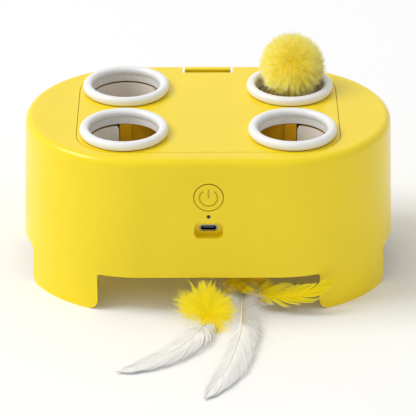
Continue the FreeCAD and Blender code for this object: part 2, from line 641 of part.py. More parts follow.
def housing_shell():
    body = new_body("housing_shell")
    outer_form(body, "housing")
    inside = new_sketch(body, "housing_inside", "XY_Plane")
    add_stadium(inside, "Sizes.half_straight", "Sizes.end_radius - Sizes.wall")
    must_cut(body, "cavity", lambda: pocket(body, inside, "Places.lid_bottom", along_normal=True,
                                            taper="-Sizes.draft_angle"))
    front_arch = new_sketch(body, "front_arch", "XZ_Plane")
    arch_outline(front_arch, "Sizes.front_arch_half", "Sizes.front_arch_round")
    must_cut(body, "front arch", lambda: pocket(body, front_arch, both_sides=True))
    side_arch = new_sketch(body, "side_arch", "YZ_Plane")
    arch_outline(side_arch, "Sizes.side_arch_half", "Sizes.side_arch_round")
    must_cut(body, "side arch", lambda: pocket(body, side_arch, both_sides=True))

    seats = new_sketch(body, "lid_seats", "XY_Plane", "Places.lid_bottom")
    front_in = "-(Sizes.lid_front - Sizes.seat_reach)"
    front_out = "-(Sizes.lid_front + Sizes.seat_root)"
    for side in (-1, 0, 1):
        middle = f"{side} * Sizes.seat_spacing"
        add_outline(seats, rectangle(f"{middle} - Sizes.seat_half", f"{middle} + Sizes.seat_half",
                                     front_out, front_in))
    side_in = "(Sizes.lid_half - Sizes.seat_reach)"
    side_out = "(Sizes.lid_half + Sizes.seat_root)"
    add_outline(seats, rectangle(side_in, side_out, "-Sizes.seat_half", "Sizes.seat_half"))
    add_outline(seats, rectangle(f"-{side_out}", f"-{side_in}", "-Sizes.seat_half", "Sizes.seat_half"))
    # the lugs start a little inside the rim, which joins them to it before the lid's bed is cut
    pad(body, seats, "Sizes.seat_thickness", upward=False)
    seam = new_sketch(body, "lid_bed", "XY_Plane", "Places.lid_bottom")
    lid_outline(seam, "Sizes.seam_gap")
    must_cut(body, "lid bed", lambda: pocket(body, seam, "Sizes.top_thickness + 1", along_normal=True))
    notch = new_sketch(body, "latch_notch", "XY_Plane", "Sizes.housing_height - Sizes.notch_depth")
    add_outline(notch, rectangle("-Sizes.notch_half", "Sizes.notch_half", "Sizes.notch_front",
                                 "Sizes.end_radius + 4"))
    must_cut(body, "latch notch", lambda: pocket(body, notch, "Sizes.notch_depth + 1",
                                                 along_normal=True))
    window = new_sketch(body, "barb_window", "XZ_Plane")
    barb_top = "Sizes.housing_height - Sizes.barb_drop"
    wide = "(Sizes.barb_half + Sizes.window_play)"
    add_outline(window, rectangle(f"-{wide}", wide,
                                  f"{barb_top} - Sizes.barb_height - Sizes.window_fall",
                                  f"{barb_top} + Sizes.window_rise"))
    must_cut(body, "barb window", lambda: pocket(body, window))

    for number, (x, y) in enumerate(base_boss_places(), start=1):
        boss = new_sketch(body, f"base_boss_{number}", "XY_Plane", "Places.plate_top")
        add_circle(boss, x, y, "Sizes.boss_radius")
        pad(body, boss, "Sizes.boss_height")
        hole = new_sketch(body, f"base_boss_hole_{number}", "XY_Plane", "Places.plate_top")
        add_circle(hole, x, y, "Sizes.screw_radius + Sizes.fit_gap")
        must_cut(body, "boss hole", lambda: pocket(body, hole, "Sizes.screw_grip + 1", along_normal=True))

    # the front wall's inner side: board bosses, the port recess and the button's collar
    root = ("Sizes.end_radius - Sizes.wall / 2 - (Places.board_bottom + Places.board_top) / 2"
            " * tan(Sizes.draft_angle * 1 deg)")
    bosses = new_sketch(body, "board_bosses", "XZ_Plane", "Sizes.board_front")
    for x, z in board_boss_places():
        add_circle(bosses, x, z, "Sizes.board_boss_radius")
    pad(body, bosses, f"{root} - Sizes.board_front")
    tub = new_sketch(body, "port_tub", "XZ_Plane", "Places.recess_floor - Sizes.recess_wall")
    add_outline(tub, rectangle("-(Sizes.recess_half_width + Sizes.recess_wall)",
                               "Sizes.recess_half_width + Sizes.recess_wall",
                               "Places.recess_height - Sizes.recess_half_height - Sizes.recess_wall",
                               "Places.recess_height + Sizes.recess_half_height + Sizes.recess_wall",
                               "Sizes.recess_round + Sizes.recess_wall"))
    pad(body, tub, f"{root} - Places.recess_floor + Sizes.recess_wall")
    collar = new_sketch(body, "button_collar", "XZ_Plane", "Sizes.collar_end")
    add_circle(collar, "0", "Places.button_height", "Places.collar_inner + Sizes.collar_wall")
    add_circle(collar, "0", "Places.button_height", "Places.collar_inner")
    pad(body, collar, f"{root} - Sizes.collar_end")

    recess = new_sketch(body, "port_recess", "XZ_Plane", "Places.recess_floor")
    add_outline(recess, rectangle("-Sizes.recess_half_width", "Sizes.recess_half_width",
                                  "Places.recess_height - Sizes.recess_half_height",
                                  "Places.recess_height + Sizes.recess_half_height",
                                  "Sizes.recess_round"))
    must_cut(body, "port recess", lambda: pocket(body, recess, "Sizes.recess_depth + 1",
                                                 along_normal=True))
    slot = new_sketch(body, "port_slot", "XZ_Plane", "Sizes.board_front")
    tall = "(Sizes.port_half_height + Sizes.port_play)"
    add_outline(slot, rectangle("-(Sizes.port_half_width + Sizes.port_play)",
                                "Sizes.port_half_width + Sizes.port_play",
                                f"Sizes.port_height - {tall}", f"Sizes.port_height + {tall}",
                                f"{tall} * 0.95"))
    must_cut(body, "port slot", lambda: pocket(body, slot, "Sizes.end_radius - Sizes.board_front",
                                               along_normal=True))
    holes = new_sketch(body, "front_holes", "XZ_Plane", "Sizes.board_front")
    add_circle(holes, "0", "Places.button_height", "Sizes.button_radius + Sizes.button_play")
    add_circle(holes, "0", "Places.light_height", "Places.light_hole")
    must_cut(body, "button hole", lambda: pocket(body, holes, "Sizes.end_radius - Sizes.board_front",
                                                 along_normal=True))
    bores = new_sketch(body, "board_boss_holes", "XZ_Plane", "Sizes.board_front")
    for x, z in board_boss_places():
        add_circle(bores, x, z, "Sizes.board_screw_radius + Sizes.fit_gap")
    must_cut(body, "board boss holes", lambda: pocket(body, bores, "Sizes.board_screw_grip + 0.5",
                                                      along_normal=True))
    keep(body, "housing_shell")


def lid():
    body = new_body("lid")
    outer_form(body, "lid")
    below = new_sketch(body, "lid_below", "XY_Plane")
    wide = f"({HALF_LENGTH} + 5)"
    deep = "(Sizes.end_radius + 5)"
    add_outline(below, rectangle(f"-{wide}", wide, f"-{deep}", deep))
    must_cut(body, "lid underside", lambda: pocket(body, below, "Places.lid_bottom",
                                                   along_normal=True))
    trim = new_sketch(body, "lid_trim", "XY_Plane", "Places.lid_bottom - 1")
    wide = f"({HALF_LENGTH} + 10)"
    deep = "(Sizes.end_radius + 10)"
    add_outline(trim, rectangle(f"-{wide}", wide, f"-{deep}", deep))
    lid_outline(trim)
    must_cut(body, "lid outline", lambda: pocket(body, trim, "Sizes.top_thickness + 2",
                                                 along_normal=True))
    holes = new_sketch(body, "lid_holes", "XY_Plane", "Places.lid_bottom - 1")
    for side, end in CORNERS.values():
        add_circle(holes, f"{side} * Sizes.hole_spacing", f"{end} * Sizes.hole_depth",
                   "Places.hole_radius")
    must_cut(body, "lid holes", lambda: pocket(body, holes, "Sizes.top_thickness + 2",
                                               along_normal=True))
    notch = new_sketch(body, "lid_notch", "XY_Plane", "Places.lid_bottom - 1")
    add_outline(notch, rectangle("-Sizes.notch_half", "Sizes.notch_half", "Sizes.notch_front",
                                 "Sizes.end_radius + 4"))
    must_cut(body, "lid notch", lambda: pocket(body, notch, "Sizes.top_thickness + 2",
                                               along_normal=True))
    # the latch's fixed arm: down from the notch's edge, back under it, and up round the barrel
    arm = new_sketch(body, "latch_arm", "YZ_Plane")
    wall = "Sizes.bracket_wall"
    low = "(Places.latch_hinge - Sizes.latch_barrel - 0.8)"
    socket = "Places.latch_axis"
    add_outline(arm, [
        (f"Sizes.notch_front - {wall}", low, None), (socket, low, None),
        (socket, "Places.latch_hinge", None),
        (f"{socket} - Sizes.latch_barrel - {wall}", "Places.latch_hinge", None),
        (f"{socket} - Sizes.latch_barrel - {wall}", f"{low} + {wall}", None),
        ("Sizes.notch_front", f"{low} + {wall}", None),
        ("Sizes.notch_front", "Places.lid_bottom + 0.5", None),
        (f"Sizes.notch_front - {wall}", "Places.lid_bottom + 0.5", None),
    ])
    pad(body, arm, "2 * Sizes.bracket_half", both_sides=True)
    seat = new_sketch(body, "latch_socket", "YZ_Plane")
    add_circle(seat, socket, "Places.latch_hinge", "Sizes.latch_barrel + Sizes.run_gap")
    must_cut(body, "latch socket", lambda: pocket(body, seat, both_sides=True))
    keep(body, "lid")


def lid_latch():
    body = new_body("lid_latch")
    side = new_sketch(body, "latch_side", "YZ_Plane")
    rear = "(Sizes.tab_front + Sizes.tab_thickness)"
    stem_front = "(Places.latch_axis - Sizes.latch_stem / 2)"
    stem_rear = "(Places.latch_axis + Sizes.latch_stem / 2)"
    barb_top = "(Sizes.housing_height - Sizes.barb_drop)"
    step = "(Places.latch_hinge + 3)"
    add_outline(side, [
        (stem_front, "Places.latch_hinge", None), (stem_rear, "Places.latch_hinge", None),
        (stem_rear, f"{barb_top} - 2 * Sizes.barb_height", None),
        (f"{rear} + Sizes.barb_depth", f"{barb_top} - Sizes.barb_height * 0.6", None),
        (f"{rear} + Sizes.barb_depth", barb_top, None), (rear, barb_top, None),
        (rear, f"{barb_top} + 2", None),
        ("Sizes.tab_front", f"{barb_top} + 2", None),
        ("Sizes.tab_front", step, None),
    ])
    pad(body, side, "2 * Sizes.barb_half", both_sides=True)
    barrel = new_sketch(body, "latch_barrel_end", "YZ_Plane")
    add_circle(barrel, "Places.latch_axis", "Places.latch_hinge", "Sizes.latch_barrel")
    pad(body, barrel, "2 * Sizes.barb_half", both_sides=True)
    tab = new_sketch(body, "latch_tab", "YZ_Plane")
    add_outline(tab, rectangle("Sizes.tab_front", rear, f"{barb_top} + 0.8", "Sizes.housing_height",
                               "0.7"))
    pad(body, tab, "2 * Sizes.tab_half", both_sides=True)
    keep(body, "lid_latch")


def rim_ring(name, side, end):
    body = new_body(f"ring_{name}")
    profile = new_sketch(body, f"ring_profile_{name}", "XZ_Plane")
    top = "Sizes.housing_height + Sizes.ring_proud"
    hook = "(Places.neck_outer + Sizes.snap_hook)"
    add_outline(profile, [
        ("Sizes.ring_inner", "Places.ring_bottom", None), (hook, "Places.ring_bottom", None),
        (hook, "Places.ring_bottom + Sizes.snap_depth / 2", None),
        ("Places.neck_outer", "Places.lid_bottom - 0.1", None),
        ("Places.neck_outer", "Sizes.housing_height", None),
        ("Places.ring_outer", "Sizes.housing_height", "Sizes.ring_foot_round"),
        ("Places.ring_outer", top, "Sizes.ring_round"),
        ("Sizes.ring_inner", top, "Sizes.ring_round"),
    ])
    spun(body, profile)
    place(body, f"{side} * Sizes.hole_spacing", f"{end} * Sizes.hole_depth + Places.frame_shift")
    keep(body, f"ring_{name}", moved=False)


def toward_middle(side, end):
    """Direction, in degrees, from a hole's centre to the housing's middle axis."""
    x, y = value("Sizes.hole_spacing"), value("Sizes.hole_depth")
    return math.degrees(math.atan2(-end * y, -side * x))


def guide_sleeve(name, side, end):
    body = new_body(f"sleeve_{name}")
    profile = new_sketch(body, f"sleeve_profile_{name}", "XZ_Plane")
    flange = "(Places.sleeve_outer + Sizes.flange_width)"
    add_outline(profile, [
        ("Places.sleeve_inner", "Places.plate_top", None), (flange, "Places.plate_top", None),
        (flange, "Places.plate_top + Sizes.flange_height", None),
        ("Places.sleeve_outer", "Places.plate_top + Sizes.flange_height", None),
        ("Places.sleeve_outer", "Places.sleeve_top", None),
        ("Places.sleeve_inner", "Places.sleeve_top", None),
    ])
    spun(body, profile, "360 - 2 * Sizes.sleeve_slot_angle")
    top = value("Places.sleeve_top")
    wall = value("Sizes.sleeve_wall")
    round_edges(body, f"sleeve_round_{name}", "Sizes.sleeve_round",
                lambda edge: edge.BoundBox.ZMin > top - 1e-3 and abs(edge.Length - wall) < 1e-3)
    turn = toward_middle(side, end) + value("Sizes.sleeve_slot_angle")
    body.Placement = Placement(Vector(), Rotation(Vector(0, 0, 1), turn))
    place(body, f"{side} * Sizes.hole_spacing", f"{end} * Sizes.hole_depth + Places.frame_shift")
    keep(body, f"sleeve_{name}", moved=False)


def foot_places():
    x = "(Sizes.foot_reach * cos(Sizes.foot_angle * 1 deg))"
    y = "(Sizes.foot_reach * sin(Sizes.foot_angle * 1 deg))"
    around = [(f"{sx} * {x}", f"{sy} * {y}") for sx, sy in CORNERS.values()]
    front = [("Sizes.bracket_foot_x", "-Sizes.bracket_foot_y"),
             ("-Sizes.bracket_foot_left", "-Sizes.bracket_foot_y")]
    return around + front


def base_plate():
    body = new_body("base_plate")
    plan = new_sketch(body, "plate_plan", "XY_Plane", "Sizes.plate_bottom")
    inner = ("Sizes.end_radius - Sizes.wall - Sizes.plate_play"
             " - Places.plate_top * tan(Sizes.draft_angle * 1 deg)")
    add_stadium(plan, "Sizes.half_straight", inner)
    pad(body, plan, "Sizes.plate_thickness")
    blind = new_sketch(body, "lower_bush_hole", "XY_Plane", "Sizes.plate_bottom + Sizes.bush_floor")
    add_circle(blind, "0", "0", "Sizes.bush_radius + Sizes.fit_gap")
    must_cut(body, "bush hole", lambda: pocket(body, blind, "Sizes.plate_thickness",
                                               along_normal=True))
    bores = new_sketch(body, "plate_bores", "XY_Plane", "Places.plate_top")
    add_circle(bores, "Sizes.feather_axis_x", "-Sizes.feather_axis_y",
               "Sizes.feather_shaft_radius + Sizes.run_gap")
    for x, y in base_boss_places() + foot_places():
        add_circle(bores, x, y, "Sizes.screw_radius + Sizes.screw_play")
    must_cut(body, "plate bores", lambda: pocket(body, bores, "Sizes.plate_thickness + 1"))
    heads = new_sketch(body, "plate_counterbores", "XY_Plane", "Sizes.plate_bottom")
    for x, y in base_boss_places() + foot_places():
        add_circle(heads, x, y, "Sizes.screw_head_radius + Sizes.head_play")
    must_cut(body, "counterbores", lambda: pocket(body, heads, "Sizes.screw_head_height",
                                                  along_normal=True))
    keep(body, "base_plate")


def screws(name, spots, grip):
    """Pan-head screws that come up through the base plate, their heads in its counterbores."""
    made = []
    for number, (x, y) in enumerate(spots, start=1):
        head = cylinder(f"{name}_head_{number}", "Sizes.screw_head_radius", x, y,
                        "Sizes.plate_bottom", "Sizes.screw_head_height")
        shank = cylinder(f"{name}_shank_{number}", "Sizes.screw_radius", x, y,
                         "Sizes.plate_bottom", f"Sizes.plate_thickness + {grip}")
        made.append(joined(f"{name}_{number}", [head, shank]))
    keep(group(name, made), name)


def lever_direction(side, end):
    return toward_middle(side, end) + HALF_TURN


def mechanism_frame():
    body = new_body("mechanism_frame")
    feet = new_sketch(body, "frame_feet", "XY_Plane", "Places.plate_top")
    for x, y in foot_places():
        add_circle(feet, x, y, "Sizes.foot_radius")
    pad(body, feet, "Places.deck_top - Places.plate_top")
    deck = new_sketch(body, "frame_deck", "XY_Plane", "Sizes.deck_bottom")
    add_circle(deck, "0", "0", "Sizes.deck_radius")
    pad(body, deck, "Sizes.deck_thickness")
    tray = new_sketch(body, "frame_tray", "XY_Plane", "Sizes.deck_bottom")
    add_outline(tray, rectangle("-Sizes.tray_end", "-Sizes.post_inner", "-Sizes.tray_half",
                                "Sizes.tray_half"))
    pad(body, tray, "Sizes.deck_thickness")
    apron = new_sketch(body, "frame_apron", "XY_Plane", "Sizes.deck_bottom")
    add_outline(apron, rectangle("-Sizes.bracket_left", "Sizes.bracket_right",
                                 "-Sizes.bracket_front", "-Sizes.bracket_rear", "2"))
    pad(body, apron, "Sizes.deck_thickness")
    for number, (x, y) in enumerate(foot_places()[:4], start=1):
        lug = new_sketch(body, f"frame_lug_{number}", "XY_Plane", "Sizes.deck_bottom")
        add_circle(lug, x, y, "Sizes.foot_lug_radius")
        pad(body, lug, "Sizes.deck_thickness")
    posts = new_sketch(body, "frame_posts", "XY_Plane", "Places.deck_top")
    near, far = "Sizes.post_inner", "Sizes.post_outer"
    for sign in ("", "-"):
        ends = (f"{sign}{near}", f"{sign}{far}")
        low, high = sorted(ends, key=value)
        add_outline(posts, rectangle(low, high, "-Sizes.post_half_side", "Sizes.post_half_side"))
        add_outline(posts, rectangle("-Sizes.post_half_front", "Sizes.post_half_front", low, high))
    crown_bottom = "(Places.pivot_height - Sizes.crown_half_height)"
    pad(body, posts, f"{crown_bottom} + 1 - Places.deck_top")
    crown = new_sketch(body, "frame_crown", "XY_Plane", crown_bottom)
    add_circle(crown, "0", "0", "Sizes.post_outer")
    add_circle(crown, "0", "0", "Sizes.crown_inner")
    pad(body, crown, f"Places.crown_top - {crown_bottom}")
    # two straight slots across the crown leave four sectors, one on each post
    for name in ("front_left", "front_right"):
        side, end = CORNERS[name]
        turn = math.radians(lever_direction(side, end))
        slot = new_sketch(body, f"crown_slot_{name}", "XY_Plane", crown_bottom)
        slot.AttachmentOffset = Placement(Vector(), Rotation(Vector(0, 0, 1), math.degrees(turn)))
        slot.setExpression("AttachmentOffset.Base.z", crown_bottom)
        reach = "(Sizes.post_outer + 5)"
        add_outline(slot, rectangle(f"-{reach}", reach, "-Places.slot_half", "Places.slot_half"))
        must_cut(body, "crown slot", lambda: pocket(body, slot, "Places.crown_top", along_normal=True))
    bores = new_sketch(body, "frame_bores", "XY_Plane", "Places.deck_top")
    add_circle(bores, "0", "0", "Sizes.bush_radius + Sizes.fit_gap")
    add_circle(bores, "-Places.popup_spacing", "0",
               "Sizes.motor_shaft_radius + Sizes.motor_bore_play")
    add_circle(bores, "Sizes.feather_axis_x - Places.feather_spacing", "-Sizes.feather_axis_y",
               "Sizes.motor_shaft_radius + Sizes.motor_bore_play")
    add_circle(bores, "Sizes.feather_axis_x", "-Sizes.feather_axis_y",
               "Sizes.feather_shaft_radius + Sizes.run_gap")
    must_cut(body, "frame bores", lambda: pocket(body, bores, "Sizes.deck_thickness + 1"))
    threads = new_sketch(body, "frame_screw_holes", "XY_Plane", "Places.plate_top")
    for x, y in foot_places():
        add_circle(threads, x, y, "Sizes.screw_radius + Sizes.fit_gap")
    must_cut(body, "foot holes", lambda: pocket(body, threads, "Sizes.screw_grip + 0.5",
                                                along_normal=True))
    doc.recompute()
    for name, (side, end) in CORNERS.items():
        hole = body.newObject("PartDesign::SubtractiveCylinder", f"pin_hole_{name}")
        bind(hole, Radius="Sizes.pin_radius + Sizes.fit_gap", Height="2 * Sizes.pin_half + 0.2")
        hole.Placement = pin_placement(side, end, 0.1)
    keep(body, "mechanism_frame")


def pin_placement(side, end, extra=0.0):
    """Where a lever pin starts, and its turn: level, and square to the lever's direction."""
    turn = math.radians(lever_direction(side, end))
    pivot = Vector(math.cos(turn), math.sin(turn), 0) * value("Sizes.pivot_reach")
    along = Vector(-math.sin(turn), math.cos(turn), 0)
    start = pivot + Vector(0, 0, value("Places.pivot_height")) - along * (value("Sizes.pin_half") + extra)
    return Placement(start, Rotation(Vector(0, 0, 1), along))


def lever_pins():
    made = []
    for name, (side, end) in CORNERS.items():
        pin = doc.addObject("Part::Cylinder", f"pin_{name}")
        bind(pin, Radius="Sizes.pin_radius", Height="2 * Sizes.pin_half")
        pin.Placement = pin_placement(side, end)
        made.append(pin)
    keep(group("lever_pins", made), "lever_pins")


def lever_pose(name, side, end):
    """From a lever's own frame (pivot at its origin, arm along X in the up pose) to the toy's."""
    shift = Placement(Vector(0, value("Places.frame_shift"), 0), Rotation())
    turn = Placement(Vector(), Rotation(Vector(0, 0, 1), lever_direction(side, end)))
    pivot = Placement(Vector(value("Sizes.pivot_reach"), 0, value("Places.pivot_height")), Rotation())
    drop = 0 if name == RAISED else value("Sizes.swing_angle")
    tilt = Placement(Vector(), Rotation(Vector(0, 1, 0), drop))
    return shift * turn * pivot * tilt


PEAK_X = "(Sizes.lever_length * cos(Sizes.swing_angle * 0.5 deg))"
PEAK_Z = "(Sizes.lever_length * sin(Sizes.swing_angle * 0.5 deg))"


def peg_direction():
    elbow = Vector(value("Sizes.lever_elbow_reach"), 0, value("Sizes.lever_elbow_rise"))
    peak = Vector(value(PEAK_X), 0, value(PEAK_Z))
    return elbow, peak, (peak - elbow).normalize()


def lever(name, side, end):
    body = new_body(f"lever_{name}")
    hub = new_sketch(body, f"lever_hub_{name}", "XZ_Plane")
    add_circle(hub, "0", "0", "Sizes.lever_hub_radius")
    pad(body, hub, "2 * Sizes.lever_half_width", both_sides=True)
    arm = new_sketch(body, f"lever_arm_{name}", "XZ_Plane")
    half = "Sizes.lever_depth / 2"
    tip_x, tip_z = "Sizes.lever_elbow_reach", "Sizes.lever_elbow_rise"
    add_outline(arm, [
        ("0", f"-{half}", None), (f"{tip_x} + {half}", f"{tip_z} - {half}", "1.2"),
        (f"{tip_x} + {half} + 0.9", f"{tip_z} + {half}", "0.4"),
        (f"{tip_x} - {half}", f"{tip_z} + {half}", None), ("0", half, None),
    ])
    pad(body, arm, "2 * Sizes.lever_half_width", both_sides=True)
    doc.recompute()
    elbow, peak, along = peg_direction()
    peg = body.newObject("PartDesign::AdditiveCylinder", f"lever_peg_{name}")
    bind(peg, Radius="Sizes.lever_peg_radius")
    peg.Height = (peak - elbow).Length - value("Sizes.lever_peg_stop")
    peg.Placement = Placement(elbow, Rotation(Vector(0, 0, 1), along))
    bore = new_sketch(body, f"lever_bore_{name}", "XZ_Plane")
    add_circle(bore, "0", "0", "Sizes.pin_radius + Sizes.run_gap")
    must_cut(body, "lever bore", lambda: pocket(body, bore, both_sides=True))
    body.Placement = lever_pose(name, side, end)
    keep(body, f"lever_{name}", moved=False)


def pompom(name, side, end):
    elbow, peak, along = peg_direction()
    ball = doc.addObject("Part::Sphere", f"pompom_ball_{name}")
    bind(ball, Radius="Sizes.pompom_radius")
    ball.Placement = Placement(peak, Rotation())
    bore = doc.addObject("Part::Cylinder", f"pompom_bore_{name}")
    bind(bore, Radius="Sizes.lever_peg_radius + Sizes.fit_gap", Height="Sizes.pompom_radius + 5")
    start = peak - along * value("Sizes.lever_peg_stop - 0.1")
    bore.Placement = Placement(start, Rotation(Vector(0, 0, 1), along * -1))
    result = cut(f"pompom_{name}", ball, [bore])
    result.Placement = lever_pose(name, side, end)
    keep(result, f"pompom_{name}", moved=False)


def follower_spring(name, side, end):
    """A leaf of spring steel under the lever's hub, which the cam's lobe pushes outward."""
    leaf = doc.addObject("Part::Box", f"leaf_{name}")
    start = "(Sizes.lever_hub_radius + 0.05)"
    bind(leaf, Length="Sizes.spring_thickness", Width="Sizes.spring_width",
         Height=f"Sizes.spring_reach - {start}")
    place(leaf, "-Sizes.spring_thickness / 2", "-Sizes.spring_width / 2", "-Sizes.spring_reach")
    result = group(f"follower_spring_{name}", [leaf])
    lean = Placement(Vector(), Rotation(Vector(0, 1, 0), -value("Sizes.swing_angle") / 2))
    result.Placement = lever_pose(name, side, end) * lean
    keep(result, f"follower_spring_{name}", moved=False)


def cam_shaft():
    shaft = cylinder("cam_shaft", "Sizes.shaft_radius", "0", "Places.frame_shift",
                     "Places.shaft_bottom", "Places.shaft_top - Places.shaft_bottom")
    keep(shaft, "cam_shaft", moved=False)


def cam_rotor():
    body = new_body("cam_rotor")
    disc = new_sketch(body, "cam_disc", "XY_Plane", "Places.cam_bottom - Sizes.cam_hub_height")
    add_circle(disc, "0", "0", "Sizes.cam_base_radius")
    pad(body, disc, "Sizes.cam_hub_height + Sizes.cam_thickness")
    nose = "(Sizes.cam_throw - Sizes.cam_nose_radius)"
    lobe = new_sketch(body, "cam_lobe", "XY_Plane", "Places.cam_bottom")
    add_outline(lobe, rectangle("0", nose, "-Sizes.cam_nose_radius", "Sizes.cam_nose_radius"))
    pad(body, lobe, "Sizes.cam_thickness")
    tip = new_sketch(body, "cam_nose", "XY_Plane", "Places.cam_bottom")
    add_circle(tip, nose, "0", "Sizes.cam_nose_radius")
    pad(body, tip, "Sizes.cam_thickness")
    bore = new_sketch(body, "cam_bore", "XY_Plane", "Places.cam_bottom")
    add_circle(bore, "0", "0", "Sizes.shaft_radius + Sizes.fit_gap")
    must_cut(body, "cam bore", lambda: pocket(body, bore, both_sides=True))
    turn = lever_direction(*CORNERS[RAISED])
    body.Placement = Placement(Vector(), Rotation(Vector(0, 0, 1), turn))
    keep(body, "cam_rotor")


def spring_clip():
    body = new_body("shaft_clip")
    plan = new_sketch(body, "clip_plan", "XY_Plane", "Places.cam_bottom + Sizes.cam_thickness")
    add_circle(plan, "0", "0", "Sizes.clip_radius")
    add_circle(plan, "0", "0", "Sizes.shaft_radius + Sizes.fit_gap")
    pad(body, plan, "Sizes.clip_thickness")
    mouth = new_sketch(body, "clip_mouth", "XY_Plane", "Places.cam_bottom + Sizes.cam_thickness")
    add_outline(mouth, rectangle("0", "Sizes.clip_radius + 1", "-Sizes.shaft_radius * 0.7",
                                 "Sizes.shaft_radius * 0.7"))
    must_cut(body, "clip mouth", lambda: pocket(body, mouth, both_sides=True))
    keep(body, "shaft_clip")


def shaft_bushes():
    made = []
    bottoms = (("lower", "Sizes.plate_bottom + Sizes.bush_floor", "Places.plate_top"),
               ("upper", "Sizes.deck_bottom", "Places.deck_top"))
    for name, low, high in bottoms:
        barrel = cylinder(f"bush_barrel_{name}", "Sizes.bush_radius", "0", "0", low,
                          f"{high} - ({low}) + 0.1")
        flange = cylinder(f"bush_flange_{name}", "Sizes.bush_flange_radius", "0", "0", high,
                          "Sizes.bush_flange")
        bore = cylinder(f"bush_bore_{name}", "Sizes.shaft_radius + Sizes.run_gap", "0", "0",
                        f"{low} - 1", "Sizes.deck_thickness + Sizes.bush_flange + 2")
        made.append(cut(f"bush_{name}", joined(f"bush_blank_{name}", [barrel, flange]), [bore]))
    keep(group("shaft_bushes", made), "shaft_bushes")


def gear_points(teeth, first_tooth):
    """Corners of a whole gear's outline: involute flanks of three straight runs each."""
    module = value("Sizes.gear_module")
    pressure = math.radians(value("Sizes.pressure_angle"))
    pitch_radius = module * teeth / 2
    base_radius = pitch_radius * math.cos(pressure)
    tip_radius = pitch_radius + ADDENDUM * module
    root_radius = pitch_radius - (ADDENDUM + TOOTH_CLEARANCE) * module
    start_radius = max(base_radius, root_radius)
    half_tooth = math.pi / (2 * teeth) - value("Sizes.backlash") / (4 * pitch_radius)

    def involute(angle):
        return math.tan(angle) - angle

    flank = [(root_radius, None)] if root_radius < base_radius - 1e-6 else []
    for step in range(4):
        radius = start_radius + (tip_radius - start_radius) * step / 3
        flank.append((radius, math.acos(min(1.0, base_radius / radius))))
    points = []
    for tooth in range(teeth):
        middle = math.radians(first_tooth) + 2 * math.pi * tooth / teeth
        rise = []
        for radius, roll in flank:
            rise.append((radius, half_tooth + involute(pressure) - involute(roll or 0.0)))
        sides = [(radius, -offset) for radius, offset in rise]
        sides += [(radius, offset) for radius, offset in reversed(rise)]
        for radius, offset in sides:
            points.append(Vector(radius * math.cos(middle + offset),
                                 radius * math.sin(middle + offset), 0))
    return points


def prism(points, bottom, height):
    wire = Part.makePolygon(points + points[:1])
    face = Part.Face(wire)
    face.translate(Vector(0, 0, bottom))
    return face.extrude(Vector(0, 0, height))


def drum(radius, bottom, height, x=0.0, y=0.0):
    return Part.makeCylinder(radius, height, Vector(x, y, bottom))


def cam_gear():
    bottom, face = value("Sizes.gear_bottom"), value("Sizes.gear_face")
    wheel = prism(gear_points(int(value("Sizes.cam_teeth")), HALF_TURN), bottom, face)
    hub_bottom, hub_top = value("Places.hub_bottom"), value("Places.hub_top")
    wheel = wheel.fuse(drum(value("Sizes.gear_hub_radius"), hub_bottom, hub_top - hub_bottom))
    reach, radius = value("Sizes.gear_window_reach"), value("Sizes.gear_window_radius")
    windows = []
    for step in range(6):
        angle = math.pi * step / 3
        windows.append(drum(radius, bottom - MARGIN, face + 2 * MARGIN, reach * math.cos(angle),
                            reach * math.sin(angle)))
    bore = drum(value("Sizes.shaft_radius + Sizes.fit_gap"), 0, value("Sizes.housing_height"))
    solid_piece("cam_gear", wheel.cut(windows + [bore]).removeSplitter())


def pinion(label, x, y):
    """A motor's pinion with its shaft, a gap between teeth facing the wheel on its right."""
    teeth = int(value("Sizes.pinion_teeth"))
    over = value("Sizes.pinion_overhang")
    bottom = value("Sizes.gear_bottom") - over
    height = value("Sizes.gear_face") + 2 * over
    wheel = prism(gear_points(teeth, HALF_TURN / teeth), bottom, height)
    shaft = drum(value("Sizes.motor_shaft_radius"), bottom,
                 value("Places.deck_top - Sizes.shaft_end_gap") - bottom)
    solid_piece(label, wheel.fuse(shaft).removeSplitter(), x, y)


def gearmotor(label, x, y, width, depth):
    low, tall = "Places.deck_top", "Sizes.gearbox_height"
    box = block(f"{label}_gear_case", f"{x} - {width} / 2", f"{x} + {width} / 2",
                f"{y} - {depth} / 2", f"{y} + {depth} / 2", low, f"{low} + {tall}")
    keep(group(f"{label}_gearbox_group", [box]), f"{label}_gearbox")
    can_low = f"({low} + {tall})"
    can = cylinder(f"{label}_can", "Sizes.motor_width / 2", x, y, can_low, "Sizes.motor_height")
    trim = block(f"{label}_can_sides", f"{x} - {width} / 2", f"{x} + {width} / 2",
                 f"{y} - {depth} / 2", f"{y} + {depth} / 2", can_low,
                 f"{can_low} + Sizes.motor_height")
    cap = cylinder(f"{label}_cap", "Sizes.motor_depth * 0.4", x, y, f"{can_low} + Sizes.motor_height",
                   "Sizes.motor_cap")
    body = joined(f"{label}_motor_body", [overlap(f"{label}_can_cut", can, trim), cap])
    keep(body, f"{label}_motor")


